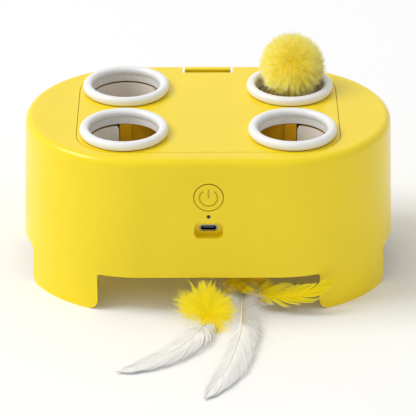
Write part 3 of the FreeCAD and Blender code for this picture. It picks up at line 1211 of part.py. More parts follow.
def cover(label, side, inner, closed):
    """A tall box with a thicker pillar at its outer end; its underside is open."""
    def across(near, far):
        return (near, far) if side > 0 else (f"-({far})", f"-({near})")
    low, high = "Places.plate_top", "Places.cover_top"
    wall = "Sizes.cover_wall"
    span = across(inner, "Sizes.cover_outer")
    pillar_span = across("Sizes.pillar_start", "Sizes.cover_outer")
    outer = [
        block(f"{label}_box", *span, "-Sizes.cover_half", "Sizes.cover_half", low, high),
        block(f"{label}_pillar", *pillar_span, "-Sizes.pillar_half", "Sizes.pillar_half", low, high),
    ]
    start = f"{inner} + {wall}" if closed else f"{inner} - 5"
    room_span = across(start, f"Sizes.cover_outer - {wall}")
    pillar_room = across(f"Sizes.pillar_start + {wall}", f"Sizes.cover_outer - {wall}")
    rooms = [
        block(f"{label}_room", *room_span, f"-(Sizes.cover_half - {wall})",
              f"Sizes.cover_half - {wall}", f"{low} - 1", f"{high} - {wall}"),
        block(f"{label}_pillar_room", *pillar_room, f"-(Sizes.pillar_half - {wall})",
              f"Sizes.pillar_half - {wall}", f"{low} - 1", f"{high} - {wall}"),
    ]
    keep(cut(label, joined(f"{label}_outer", outer), rooms), label)


def battery():
    cell = cylinder("battery_can", "Sizes.cell_radius", "Sizes.cell_spacing", "0", "Sizes.cell_bottom",
                    "Places.cell_length - 0.6")
    knob = cylinder("battery_knob", "Sizes.cell_radius * 0.4", "Sizes.cell_spacing", "0",
                    "Sizes.cell_bottom + Places.cell_length - 0.7", "0.7")
    keep(joined("battery_whole", [cell, knob]), "battery_cell")
    x_low = "Sizes.cell_spacing - Sizes.contact_half"
    x_high = "Sizes.cell_spacing + Sizes.contact_half"
    y_low, y_high = "-Sizes.contact_half", "Sizes.contact_half"
    thin = "Sizes.contact_thickness"
    base = block("contact_base", x_low, x_high, y_low, y_high, "Places.plate_top",
                 f"Places.plate_top + {thin}")
    post = doc.addObject("Part::Cone", "contact_cone")
    bind(post, Radius1="Sizes.contact_half * 0.9", Radius2="Sizes.contact_half * 0.4",
         Height=f"Sizes.cell_bottom - Places.plate_top - {thin}")
    place(post, "Sizes.cell_spacing", "0", f"Places.plate_top + {thin}")
    top = "(Sizes.cell_bottom + Places.cell_length)"
    ceiling = "(Places.cover_top - Sizes.cover_wall)"
    leaf = [
        block("contact_lower_leaf", x_low, x_high, y_low, y_high, top, f"{top} + {thin}"),
        block("contact_bend", x_low, f"{x_low} + {thin}", y_low, y_high, top, ceiling),
        block("contact_upper_leaf", x_low, x_high, y_low, y_high, f"{ceiling} - {thin}", ceiling),
    ]
    keep(group("contact_pair", [joined("contact_lower", [base, post]),
                                joined("contact_upper", leaf)]), "battery_contacts")


def feather_shaft():
    shaft = cylinder("feather_rod", "Sizes.feather_shaft_radius", "Sizes.feather_axis_x",
                     "-Sizes.feather_axis_y", "Sizes.feather_shaft_bottom",
                     "Places.deck_top - 0.5 - Sizes.feather_shaft_bottom")
    keep(group("feather_shaft_group", [shaft]), "feather_shaft")


def feather_sector():
    teeth = int(value("Sizes.sector_teeth"))
    bottom, face = value("Sizes.gear_bottom"), value("Sizes.gear_face")
    wheel = prism(gear_points(teeth, HALF_TURN), bottom, face)
    reach = value("Sizes.gear_module") * teeth
    first, last = value("Sizes.sector_start_angle"), value("Sizes.sector_end_angle")
    corners = [Vector(value("Sizes.sector_hub_radius * 0.8"), 0, 0)]
    for angle in (first, (first + last) / 2, last):
        turn = math.radians(angle)
        corners.append(Vector(reach * math.cos(turn), reach * math.sin(turn), 0))
    sector = wheel.common(prism(corners, bottom - MARGIN, face + 2 * MARGIN))
    hub_low = value("Places.plate_top + Sizes.hub_gap")
    hub_high = value("Places.hub_top")
    sector = sector.fuse(drum(value("Sizes.sector_hub_radius"), hub_low, hub_high - hub_low))
    bore = drum(value("Sizes.feather_shaft_radius + Sizes.fit_gap"), 0, value("Sizes.housing_height"))
    solid_piece("feather_sector", sector.cut(bore).removeSplitter(),
                "Sizes.feather_axis_x", "-Sizes.feather_axis_y")


# Feathers: quill height in the ferrule, then path points x, y, z and half width. Millimetres.
FEATHERS = {
    "white_left": (6.5, ((-0.8, -76, 3.0, 0.7), (-5.0, -84, 3.0, 3.2), (-17.9, -99.4, 2.0, 7.0),
                         (-32.7, -116.1, 1.5, 6.6), (-42.0, -124.6, 1.1, 3.8), (-47.3, -129, 1.0, 0.5))),
    "white_middle": (9.5, ((18, -57, 8.0, 0.7), (17.9, -67, 6.0, 2.6), (16.4, -83.5, 4.0, 7.4),
                           (12.2, -108.5, 2.5, 8.0), (5.7, -132.8, 2.0, 7.0), (0.4, -148, 1.4, 4.0),
                           (-2.6, -value("Sizes.feather_reach"), 1.0, 0.5))),
    "yellow_left": (14.5, ((5, -66, 9.0, 0.8), (-0.8, -78, 6.0, 3.0), (-2.5, -78, 13.0, 13.0),
                           (-4, -74, 18.6, 8.0))),
    "yellow_right": (12.0, ((19.5, -57.5, 10.4, 0.7), (27.3, -61, 9.6, 2.6), (36.9, -64, 10.2, 4.8),
                            (44.9, -66, 11.6, 5.8), (57, -66, 14.5, 5.0), (69.5, -63, 21.7, 0.5))),
}


def quill_start(name):
    """Where a quill begins in the ferrule, and the direction in which it leaves."""
    height, path = FEATHERS[name]
    axis = Vector(value("Sizes.ferrule_x"), -value("Sizes.ferrule_y"), height)
    aim = Vector(*path[0][:3])
    level = Vector(aim.x - axis.x, aim.y - axis.y, 0).normalize()
    start = axis + level * value("Sizes.quill_hole_depth")
    return start, (aim - start).normalize()


def across_vane(name, along):
    """Direction of a feather's width: level, or tilted up for the two yellow ones."""
    if name == "yellow_left":
        level = Vector(0.96, -0.1, 0)
        return (level - along * level.dot(along)).normalize()
    if name == "yellow_right":
        return along.cross(Vector(0, -0.85, 0.5)).normalize()
    return Vector(-along.y, along.x, 0).normalize()


def ribbon(name, stations):
    """A thin solid along the stations: each is a centre, a half width and a half thickness."""
    sections = []
    for index, (centre, half_width, half_depth) in enumerate(stations):
        before = stations[max(index - 1, 0)][0]
        after = stations[min(index + 1, len(stations) - 1)][0]
        along = (after - before).normalize()
        across = across_vane(name, along)
        normal = along.cross(across).normalize()
        corners = [centre + across * half_width, centre + normal * half_depth,
                   centre - across * half_width, centre - normal * half_depth]
        sections.append(Part.makePolygon(corners + corners[:1]))
    return Part.makeLoft(sections, True, True)


def feather(name):
    half_quill = value("Sizes.quill_width") / 2
    half_vane = value("Sizes.vane_thickness") / 2
    stations = [(quill_start(name)[0], half_quill, half_quill)]
    for x, y, z, half_width in FEATHERS[name][1]:
        half_depth = half_quill if len(stations) == 1 else half_vane
        stations.append((Vector(x, y, z), half_width, half_depth))
    if name == "yellow_left":
        # this one folds up sharply, so its quill and its fan are drawn apart and joined
        shape = ribbon(name, stations[:3]).fuse(ribbon(name, stations[2:]))
    else:
        shape = ribbon(name, stations)
    solid_piece(f"feather_{name}", shape)


def feather_clip():
    x, y = "Sizes.feather_axis_x", "-Sizes.feather_axis_y"
    low, high = "Sizes.clip_arm_bottom", "Sizes.clip_arm_top"
    hub = cylinder("clip_hub", "Sizes.clip_hub_radius", x, y, low, f"{high} - {low}")
    ferrule = cylinder("clip_ferrule", "Sizes.ferrule_radius", "Sizes.ferrule_x", "-Sizes.ferrule_y",
                       "Sizes.ferrule_bottom", f"{high} - Sizes.ferrule_bottom")
    reach = "sqrt(({0} - {1}) ^ 2 + ({2} - {3}) ^ 2)".format(
        "Sizes.ferrule_x", "Sizes.feather_axis_x", "Sizes.ferrule_y", "Sizes.feather_axis_y")
    arm = doc.addObject("Part::Box", "clip_arm")
    bind(arm, Length=reach, Width="2 * Sizes.clip_arm_half", Height=f"{high} - {low}")
    heading = math.atan2(-value("Sizes.ferrule_y - Sizes.feather_axis_y"),
                         value("Sizes.ferrule_x - Sizes.feather_axis_x"))
    side = Vector(math.sin(heading), -math.cos(heading), 0) * value("Sizes.clip_arm_half")
    start = Vector(value(x), value(y), value(low)) + side
    arm.Placement = Placement(start, Rotation(Vector(0, 0, 1), math.degrees(heading)))
    bores = [cylinder("clip_shaft_bore", "Sizes.feather_shaft_radius + Sizes.fit_gap", x, y,
                      "Sizes.feather_shaft_bottom - 1", "Sizes.housing_height / 2")]
    for name in FEATHERS:
        start, along = quill_start(name)
        bore = doc.addObject("Part::Cylinder", f"quill_bore_{name}")
        bind(bore, Radius="Sizes.quill_hole_radius", Height="Sizes.ferrule_radius")
        bore.Placement = Placement(start, Rotation(Vector(0, 0, 1), along))
        bores.append(bore)
    keep(cut("clip_whole", joined("clip_blank", [hub, ferrule, arm]), bores), "feather_clip")


def circuit_board():
    body = new_body("circuit_board")
    plan = new_sketch(body, "board_plan", "XZ_Plane", "Places.board_rear")
    add_outline(plan, rectangle("-Sizes.board_half", "Sizes.board_half", "Places.board_bottom",
                                "Places.board_top", "1.5"))
    for x, z in board_boss_places():
        add_circle(plan, x, z, "Sizes.board_screw_radius + 0.15")
    pad(body, plan, "Sizes.board_thickness")
    keep(body, "circuit_board")


def forward_rod(name, radius, x, z, front, length):
    """A rod that lies along Y, from its front end back towards the middle."""
    return cylinder(name, radius, x, f"-({front})", z, length, axis="y")


def board_screws():
    made = []
    for number, (x, z) in enumerate(board_boss_places(), start=1):
        head = forward_rod(f"board_head_{number}", "Sizes.board_head_radius", x, z,
                           "Places.board_rear", "Sizes.board_head_height")
        shank = forward_rod(f"board_shank_{number}", "Sizes.board_screw_radius", x, z,
                            "Sizes.board_front + Sizes.board_screw_grip",
                            "Sizes.board_screw_grip + Sizes.board_thickness + 0.1")
        made.append(joined(f"board_screw_{number}", [head, shank]))
    keep(group("board_screw_set", made), "board_screws")


MOUTH = "(Places.recess_floor - Sizes.port_setback)"


def usb_port():
    body = new_body("usb_port")
    def section(name, front, inset):
        sketch = new_sketch(body, name, "XZ_Plane", front)
        wide = f"(Sizes.port_half_width - {inset})"
        tall = f"(Sizes.port_half_height - {inset})"
        add_outline(sketch, rectangle(f"-{wide}", wide, f"Sizes.port_height - {tall}",
                                      f"Sizes.port_height + {tall}", f"{tall} * 0.95"))
        return sketch
    shell = section("port_outer", "Sizes.board_front", "0")
    pad(body, shell, f"{MOUTH} - Sizes.board_front")
    room = section("port_room", "Sizes.board_front + Sizes.port_base", "Sizes.port_shell")
    must_cut(body, "port room", lambda: pocket(body, room, f"{MOUTH} - Sizes.board_front",
                                               along_normal=True))
    keep(body, "usb_port")
    tongue = block("tongue_blade", "-Sizes.tongue_half_width", "Sizes.tongue_half_width",
                   f"-({MOUTH} - Sizes.tongue_recess)", "-(Sizes.board_front + Sizes.port_base)",
                   "Sizes.port_height - Sizes.tongue_half_height",
                   "Sizes.port_height + Sizes.tongue_half_height")
    keep(group("tongue_group", [tongue]), "usb_tongue")


def button_switch():
    height = "Places.button_height"
    base = block("switch_base", "-Sizes.switch_half", "Sizes.switch_half",
                 "-(Sizes.board_front + Sizes.switch_height)", "-Sizes.board_front",
                 f"{height} - Sizes.switch_half", f"{height} + Sizes.switch_half")
    plunger = forward_rod("switch_plunger", "Sizes.plunger_radius", "0", height,
                          "Places.switch_face", "Sizes.plunger_height + 0.1")
    keep(joined("switch_whole", [base, plunger]), "button_switch")


def power_symbol(face, height):
    """Cutters for the engraved symbol: an arc that is open at the top, and an upright line."""
    deep = "Sizes.symbol_depth + 0.1"
    arc = forward_rod("symbol_arc", "Sizes.symbol_radius + Sizes.symbol_stroke / 2", "0", height,
                      f"{face} + 0.1", deep)
    arc.setExpression("Angle", "360 - 2 * Sizes.symbol_open_angle")
    opening = 1.5 * HALF_TURN + value("Sizes.symbol_open_angle")
    arc.Placement = Placement(Vector(), arc.Placement.Rotation * Rotation(Vector(0, 0, 1), opening))
    core = forward_rod("symbol_core", "Sizes.symbol_radius - Sizes.symbol_stroke / 2", "0", height,
                       f"{face} + 0.2", "Sizes.symbol_depth + 0.3")
    bar = block("symbol_line", "-Sizes.symbol_stroke / 2", "Sizes.symbol_stroke / 2",
                f"-({face} + 0.1)", f"-({face} - Sizes.symbol_depth)", height,
                f"{height} + Sizes.symbol_bar")
    return [cut("symbol_ring", arc, [core]), bar]


def power_button():
    height = "Places.button_height"
    face = "(Places.button_wall + Sizes.button_proud)"
    # the flange stops behind the leaning wall at the level of the button's upper edge
    inner = ("(Sizes.end_radius - Sizes.wall - (Places.button_height + Sizes.button_radius"
             " + Sizes.button_flange) * tan(Sizes.draft_angle * 1 deg) - 0.1)")
    disc = forward_rod("button_disc", "Sizes.button_radius", "0", height, face, f"{face} - {inner} + 0.2")
    flange = forward_rod("button_flange", "Sizes.button_radius + Sizes.button_flange", "0", height,
                         inner, "Sizes.button_flange_thickness")
    stem_end = "(Places.switch_face + Sizes.button_travel + 0.1)"
    stem = forward_rod("button_stem", "Sizes.button_stem_radius", "0", height, inner,
                       f"{inner} - {stem_end}")
    blank = joined("button_blank", [disc, flange, stem])
    keep(cut("button_whole", blank, power_symbol(face, height)), "power_button")


def status_light():
    height = "Places.light_height"
    face = "Places.light_wall"
    chip_front = "(Sizes.board_front + Sizes.light_chip_height)"
    pipe = forward_rod("light_pipe", "Sizes.light_radius", "0", height, face,
                       f"{face} - {chip_front}")
    chip = block("light_chip", "-Sizes.light_chip", "Sizes.light_chip", f"-{chip_front}",
                 "-Sizes.board_front", f"{height} - Sizes.light_chip", f"{height} + Sizes.light_chip")
    keep(joined("light_whole", [pipe, chip]), "status_light")


housing_shell()
lid()
lid_latch()
base_plate()
screws("base_screws", base_boss_places(), "Sizes.screw_grip")
screws("frame_screws", foot_places(), "Sizes.screw_grip")
mechanism_frame()
lever_pins()
for corner, (side, end) in CORNERS.items():
    rim_ring(corner, side, end)
    guide_sleeve(corner, side, end)
    lever(corner, side, end)
    pompom(corner, side, end)
    follower_spring(corner, side, end)
cam_shaft()
cam_rotor()
spring_clip()
shaft_bushes()
cam_gear()
pinion("popup_pinion", "-Places.popup_spacing", "0")
gearmotor("popup", "-Places.popup_spacing", "0", "Sizes.motor_depth", "Sizes.motor_width")
cover("motor_cover", -1, "Sizes.motor_cover_inner", closed=False)
cover("battery_cover", 1, "Sizes.battery_cover_inner", closed=True)
battery()
feather_shaft()
feather_sector()
FEATHER_MOTOR = "(Sizes.feather_axis_x - Places.feather_spacing)"
pinion("feather_pinion", FEATHER_MOTOR, "-Sizes.feather_axis_y")
gearmotor("feather", FEATHER_MOTOR, "-Sizes.feather_axis_y", "Sizes.motor_width", "Sizes.motor_depth")
feather_clip()
for feather_name in FEATHERS:
    feather(feather_name)
circuit_board()
board_screws()
usb_port()
button_switch()
power_button()
status_light()

doc.recompute()
for thing in doc.Objects:
    if {"Invalid", "Error"} & set(thing.State):
        raise RuntimeError(f"{thing.Label} did not rebuild: {thing.State}")
for piece in pieces:
    if piece.Shape.isNull() or not piece.Shape.isValid():
        raise RuntimeError(f"{piece.Label} has no sound shape")

os.makedirs("parts", exist_ok=True)
for piece in pieces:
    piece.Shape.exportStep(f"parts/{piece.Label}.step")
print(len(pieces), "pieces written")
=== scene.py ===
# Looks of the pop-up feather cat toy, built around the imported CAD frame. Metres, +Z up.
import bisect
import json
import math
import random

import bpy
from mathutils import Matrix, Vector, noise
from mathutils.kdtree import KDTree


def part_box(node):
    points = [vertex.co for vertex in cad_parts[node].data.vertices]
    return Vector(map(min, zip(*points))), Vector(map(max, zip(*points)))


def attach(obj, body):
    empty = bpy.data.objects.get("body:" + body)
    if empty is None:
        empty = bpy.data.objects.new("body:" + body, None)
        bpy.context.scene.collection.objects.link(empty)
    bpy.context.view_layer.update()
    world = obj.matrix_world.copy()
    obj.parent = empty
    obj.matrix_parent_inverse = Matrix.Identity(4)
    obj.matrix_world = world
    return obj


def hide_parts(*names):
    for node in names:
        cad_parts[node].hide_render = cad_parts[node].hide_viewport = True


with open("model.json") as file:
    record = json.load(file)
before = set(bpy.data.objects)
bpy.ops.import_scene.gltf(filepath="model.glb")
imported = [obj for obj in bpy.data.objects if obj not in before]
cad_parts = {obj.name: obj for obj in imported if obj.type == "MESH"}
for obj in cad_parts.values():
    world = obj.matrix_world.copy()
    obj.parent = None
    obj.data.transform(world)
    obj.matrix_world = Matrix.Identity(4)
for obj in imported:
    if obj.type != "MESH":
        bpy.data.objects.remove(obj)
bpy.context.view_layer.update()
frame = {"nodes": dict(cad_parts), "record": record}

MM = 0.001
UP = Vector((0, 0, 1))
SIGNS = {"front_left": (-1, -1), "front_right": (1, -1), "rear_left": (-1, 1), "rear_right": (1, 1)}
CORNERS = tuple(SIGNS)


def box_middle(node):
    low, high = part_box(node)
    return (low + high) / 2


# The middle of the housing's footprint, from the four rims in its lid
MIDDLE = sum((box_middle(f"ring_{corner}") for corner in CORNERS), Vector()) / 4
MIDDLE.z = 0.0


def spot(x, y, z):
    """A point given in millimetres from the middle of the housing's footprint."""
    return MIDDLE + Vector((x, y, z)) * MM


def new_object(name, points, faces, materials):
    mesh = bpy.data.meshes.new(name)
    mesh.from_pydata(points, [], faces)
    for material in materials:
        mesh.materials.append(material)
    thing = bpy.data.objects.new(name, mesh)
    bpy.context.scene.collection.objects.link(thing)
    return thing


# Camera, at the photograph's place: its distance from the target is in metres, its lens in millimetres
CAMERA_PITCH = math.radians(26.66)
CAMERA_YAW = math.radians(0.21)
CAMERA_DISTANCE = 1.5488
CAMERA_TARGET = spot(-0.06, 0, 29.95)
CAMERA_LENS = 245.7
SENSOR_WIDTH = 36.0
TOWARD_CAMERA = Vector((0, -math.cos(CAMERA_PITCH), math.sin(CAMERA_PITCH)))


def make_camera():
    data = bpy.data.cameras.new("camera")
    camera = bpy.data.objects.new("camera", data)
    bpy.context.scene.collection.objects.link(camera)
    forward = Vector((math.sin(CAMERA_YAW) * math.cos(CAMERA_PITCH),
                      math.cos(CAMERA_YAW) * math.cos(CAMERA_PITCH),
                      -math.sin(CAMERA_PITCH)))
    camera.location = CAMERA_TARGET - forward * CAMERA_DISTANCE
    camera.rotation_mode = "QUATERNION"
    camera.rotation_quaternion = forward.to_track_quat("-Z", "Y")
    data.lens = CAMERA_LENS
    data.sensor_width = SENSOR_WIDTH
    data.clip_start = 0.05
    data.clip_end = 20.0
    bpy.context.scene.camera = camera


make_camera()
bpy.context.scene.view_settings.view_transform = "Standard"


# Materials

def new_material(name):
    material = bpy.data.materials.new(name)
    material.use_nodes = True
    tree = material.node_tree
    return material, tree, tree.nodes["Principled BSDF"]


def coordinates(tree):
    return tree.nodes.new("ShaderNodeTexCoord").outputs["Object"]


def noise_node(tree, scale, detail=3.0):
    node = tree.nodes.new("ShaderNodeTexNoise")
    node.inputs["Scale"].default_value = scale
    node.inputs["Detail"].default_value = detail
    tree.links.new(coordinates(tree), node.inputs["Vector"])
    return node.outputs["Fac"]


def ramp(tree, factor, stops):
    node = tree.nodes.new("ShaderNodeValToRGB")
    elements = node.color_ramp.elements
    while len(elements) < len(stops):
        elements.new(0.5)
    for element, (place, colour) in zip(elements, stops):
        element.position = place
        element.color = (*colour, 1.0)
    tree.links.new(factor, node.inputs["Fac"])
    return node.outputs["Color"]


def spread(tree, factor, low, high):
    node = tree.nodes.new("ShaderNodeMapRange")
    node.inputs["To Min"].default_value = low
    node.inputs["To Max"].default_value = high
    tree.links.new(factor, node.inputs["Value"])
    return node.outputs["Result"]


def multiply(tree, first, second):
    mix = tree.nodes.new("ShaderNodeMix")
    mix.data_type = "RGBA"
    mix.blend_type = "MULTIPLY"
    mix.inputs["Factor"].default_value = 1.0
    tree.links.new(first, mix.inputs["A"])
    tree.links.new(second, mix.inputs["B"])
    return mix.outputs["Result"]


SKIN_SCALE = 2600.0
SKIN_STRENGTH = 0.25
SKIN_DEPTH = 0.00002


def moulded_skin(tree, shader):
    node = tree.nodes.new("ShaderNodeBump")
    node.inputs["Strength"].default_value = SKIN_STRENGTH
    node.inputs["Distance"].default_value = SKIN_DEPTH
    tree.links.new(noise_node(tree, SKIN_SCALE, detail=1.0), node.inputs["Height"])
    tree.links.new(node.outputs["Normal"], shader.inputs["Normal"])


def shade(colour, factor):
    return tuple(min(1.0, channel * factor) for channel in colour)


def paint_groove_shade(tree, tones, groove_shade, reach, closed, open_):
    """Painted shade: seams, grooves and tight corners are painted darker, for the shade in them.
    The painted shade is full up to the openness closed, and gone at open_."""
    closeness = tree.nodes.new("ShaderNodeAmbientOcclusion")
    closeness.inputs["Distance"].default_value = reach
    closeness.samples = 8
    painted_groove_shade = ramp(tree, closeness.outputs["AO"], ((closed, groove_shade), (open_, (1.0, 1.0, 1.0))))
    return multiply(tree, tones, painted_groove_shade)


def plastic(name, colour, rough, variation=0.03, specular=0.5, groove_shade=None, groove_shade_reach=None,
            groove_shade_range=(0.12, 0.55)):
    """Moulded plastic: faint tone drift, uneven polish, a fine skin and, if given, painted shade in its
    grooves.
    """
    material, tree, shader = new_material(name)
    drift = noise_node(tree, scale=18.0)
    tones = ramp(tree, drift, ((0.3, shade(colour, 1 - variation)), (0.7, shade(colour, 1 + variation))))
    if groove_shade:
        tones = paint_groove_shade(tree, tones, groove_shade, groove_shade_reach, *groove_shade_range)
    tree.links.new(tones, shader.inputs["Base Color"])
    polish = spread(tree, noise_node(tree, scale=60.0), rough - 0.04, rough + 0.05)
    tree.links.new(polish, shader.inputs["Roughness"])
    shader.inputs["Specular IOR Level"].default_value = specular
    moulded_skin(tree, shader)
    return material


LOOKS_UP = 0.9


def paint_up_face_shade(material, colour):
    """Faces that look straight up take the colour: painted shade, as the sleeves' top faces lie in the
    dark gap under the rims.
    """
    tree = material.node_tree
    shader = tree.nodes["Principled BSDF"]
    tones = shader.inputs["Base Color"].links[0].from_socket
    facing = tree.nodes.new("ShaderNodeNewGeometry")
    parts = tree.nodes.new("ShaderNodeSeparateXYZ")
    tree.links.new(facing.outputs["True Normal"], parts.inputs["Vector"])
    mix = tree.nodes.new("ShaderNodeMix")
    mix.data_type = "RGBA"
    upward = tree.nodes.new("ShaderNodeMath")
    upward.operation = "GREATER_THAN"
    upward.inputs[1].default_value = LOOKS_UP
    tree.links.new(parts.outputs["Z"], upward.inputs[0])
    tree.links.new(upward.outputs["Value"], mix.inputs["Factor"])
    tree.links.new(tones, mix.inputs["A"])
    mix.inputs["B"].default_value = (*colour, 1.0)
    tree.links.new(mix.outputs["Result"], shader.inputs["Base Color"])


STREAK_SCALE = (400.0, 400.0, 40.0)
HOLLOW_SHADE_REACH = 0.003


def metal(name, colour, rough, hollow_shade=None):
    """Plain metal with drawn streaks. The shade colour, if given, is painted deep inside it."""
    material, tree, shader = new_material(name)
    mapping = tree.nodes.new("ShaderNodeMapping")
    mapping.inputs["Scale"].default_value = STREAK_SCALE
    tree.links.new(coordinates(tree), mapping.inputs["Vector"])
    lines = tree.nodes.new("ShaderNodeTexNoise")
    lines.inputs["Scale"].default_value = 5.0
    tree.links.new(mapping.outputs["Vector"], lines.inputs["Vector"])
    tones = ramp(tree, lines.outputs["Fac"], ((0.3, shade(colour, 0.88)), (0.7, shade(colour, 1.06))))
    if hollow_shade:
        tones = paint_groove_shade(tree, tones, hollow_shade, HOLLOW_SHADE_REACH, closed=0.5, open_=0.75)
    tree.links.new(tones, shader.inputs["Base Color"])
    tree.links.new(spread(tree, lines.outputs["Fac"], rough - 0.06, rough + 0.1),
                   shader.inputs["Roughness"])
    shader.inputs["Metallic"].default_value = 1.0
    return material


def attribute(tree, name):
    node = tree.nodes.new("ShaderNodeAttribute")
    node.attribute_name = name
    return node.outputs["Fac"]


def strand_material(name, stops, rough, tone, sheen=None):
    """Fur and feather: colour runs along each strand, and each strand has its own tone, down to
    1 - tone. sheen is its weight and its tint."""
    material, tree, shader = new_material(name)
    colour = ramp(tree, attribute(tree, "along"), stops)
    own = ramp(tree, attribute(tree, "tone"), ((0.0, (1 - tone,) * 3), (1.0, (1.0,) * 3)))
    tree.links.new(multiply(tree, colour, own), shader.inputs["Base Color"])
    shader.inputs["Roughness"].default_value = rough
    shader.inputs["Specular IOR Level"].default_value = 0.12
    if sheen:
        shader.inputs["Sheen Weight"].default_value = sheen[0]
        shader.inputs["Sheen Tint"].default_value = (*sheen[1], 1.0)
        shader.inputs["Sheen Roughness"].default_value = 0.6
    return material


YELLOW = (0.93, 0.705, 0.004)

# painted shade darkens the seams, gaps and grooves of the yellow plastics, more deeply in the button's
# gap and symbol
yellow = plastic("yellow_plastic", YELLOW, rough=0.24, specular=0.42, groove_shade=(0.66, 0.42, 0.16),
                 groove_shade_reach=0.0012)
yellow_button = plastic("yellow_button_plastic", YELLOW, rough=0.36, specular=0.4,
                        groove_shade=(0.50, 0.22, 0.03), groove_shade_reach=0.001, groove_shade_range=(0.45, 0.95))
# the covers inside the housing are painted a deeper orange yellow: painted shade and yellow bounce light
# inside it
shaded_yellow = plastic("shaded_yellow_plastic", (0.72, 0.37, 0.004), rough=0.5, specular=0.25)
white = plastic("white_trim_plastic", (0.87, 0.87, 0.87), rough=0.28)
# white plastic whose warm tint is painted yellow bounce light from the housing round it
white_inner = plastic("white_inner_plastic", (0.92, 0.87, 0.83), rough=0.45)
# the sleeves' up-facing faces are painted dark brown: painted shade of the gap under the rims
paint_up_face_shade(white_inner, (0.42, 0.22, 0.03))
# the guide wall behind the raised pompom is painted a darker, warmer white: painted shade of the pompom
# and its yellow bounce light
shaded_white_inner = plastic("shaded_white_inner_plastic", (0.90, 0.80, 0.65), rough=0.45)
# the mechanism is painted dark brown: painted shade of the dark inside of the housing
mechanism_shade_brown = plastic("mechanism_shade_brown_plastic", (0.33, 0.19, 0.03), rough=0.5, specular=0.25)
gear_white = plastic("gear_plastic", (0.80, 0.79, 0.74), rough=0.42)
black = plastic("black_plastic", (0.012, 0.012, 0.016), rough=0.35)
board_green = plastic("board_mask", (0.02, 0.13, 0.06), rough=0.32, variation=0.15)
wrap_blue = plastic("cell_wrap", (0.05, 0.2, 0.33), rough=0.3)
steel = metal("steel", (0.62, 0.62, 0.64), rough=0.28)
dark_steel = metal("spring_steel", (0.35, 0.35, 0.38), rough=0.35)
# the port's inside is painted near black: painted shade deep in the socket
port_steel = metal("port_steel", (0.50, 0.54, 0.64), rough=0.25, hollow_shade=(0.01, 0.01, 0.012))
brass = metal("brass", (0.72, 0.52, 0.24), rough=0.3)
smoked = plastic("smoked_light", (0.012, 0.012, 0.022), rough=0.3)

# deep gold roots are painted shade for the depth of the fur, which casts no shadow of its own, and the
# pale tips painted light shining through them
fur_yellow = strand_material(
    "fur_yellow", ((0.0, (0.94, 0.62, 0.001)), (0.4, (0.98, 0.76, 0.003)), (0.72, (1.0, 0.90, 0.09)),
                   (1.0, (1.0, 0.97, 0.63))), rough=0.7, tone=0.24, sheen=(0.75, (1.0, 0.96, 0.6)))
feather_white = strand_material(
    "feather_white", ((0.0, (0.95, 0.943, 0.93)), (0.3, (0.95, 0.945, 0.935)),
                      (1.0, (0.965, 0.962, 0.96))), rough=0.55, tone=0.12)
feather_cream = strand_material(
    "feather_cream", ((0.0, (0.90, 0.76, 0.42)), (0.3, (0.96, 0.91, 0.78)), (1.0, (0.98, 0.97, 0.94))),
    rough=0.6, tone=0.25, sheen=(0.4, (1.0, 0.98, 0.95)))
feather_yellow = strand_material(
    "feather_yellow", ((0.0, (1.0, 0.72, 0.002)), (0.5, (1.0, 0.80, 0.006)), (1.0, (1.0, 0.87, 0.05))),
    rough=0.55, tone=0.18, sheen=(0.6, (1.0, 0.86, 0.03)))
# a deeper gold for the down and the broad vane at the yellow feather's root: painted shade under the
# housing's arch
shaded_feather_root = strand_material(
    "shaded_feather_root", ((0.0, (0.92, 0.55, 0.004)), (0.5, (1.0, 0.68, 0.01)), (1.0, (1.0, 0.76, 0.08))),
    rough=0.6, tone=0.3)
quill_material = plastic("quill", (0.90, 0.88, 0.84), rough=0.4)
quill_yellow = plastic("quill_yellow", (0.95, 0.72, 0.04), rough=0.4)

FINISHES = {
    "yellow_housing": yellow, "yellow_lid": yellow, "white_trim": white, "white_inner": white_inner,
    "mechanism_plastic": mechanism_shade_brown, "gear_plastic": gear_white, "yellow_fur": fur_yellow,
    "white_feather": feather_white, "yellow_feather": feather_yellow, "steel": steel,
    "spring_steel": dark_steel, "brass": brass, "motor_can": steel, "cell_wrap": wrap_blue,
    "board": board_green, "black_plastic": black, "light": smoked,
}
OWN_FINISH = {
    "motor_cover": shaded_yellow, "battery_cover": shaded_yellow, "usb_port": port_steel,
    "power_button": yellow_button, "sleeve_rear_right": shaded_white_inner,
}


WELD_REACH = 0.000002


def smooth(thing, angle=35.0):
    """Rounded faces shade as one surface, and edges sharper than the angle stay crisp."""
    weld = thing.modifiers.new("weld", "WELD")
    weld.merge_threshold = WELD_REACH
    thing.data.shade_smooth()
    split = thing.modifiers.new("split", "EDGE_SPLIT")
    split.use_edge_angle = True
    split.use_edge_sharp = False
    split.split_angle = math.radians(angle)
    # large flat faces keep their own normal where small rounded ones join them
    weighted = thing.modifiers.new("weighted", "WEIGHTED_NORMAL")
    weighted.mode = "FACE_AREA"
    weighted.weight = 100


SLOT_OF = {entry["node"]: entry["material_slot"] for entry in frame["record"]["subparts"]}
for name, thing in frame["nodes"].items():
    thing.data.materials.clear()
    thing.data.materials.append(OWN_FINISH.get(name, FINISHES[SLOT_OF[name]]))
    smooth(thing)


# Rims: full beads whose lower edge curls in to the lid. Radii and heights are in millimetres, and
# heights are from the lid's top.

BEAD_REACH = 23.45
BEAD_INNER = 18.4
BEAD_TOP = 4.9
BEAD_HALF_HEIGHT = 0.52 * BEAD_TOP
# The section is a superellipse of this power, from one angle to the other, level outward being 0
BEAD_ROUNDNESS = 2.2
BEAD_FROM, BEAD_TO = -62, 214
BEAD_STEPS = 32
NECK_DEPTH = 3.1
NECK_OUTER = 20.3
RIM_STEPS = 144
RIM_SHARP = 60.0
FRONT_RIM_SHIFT = 0.5


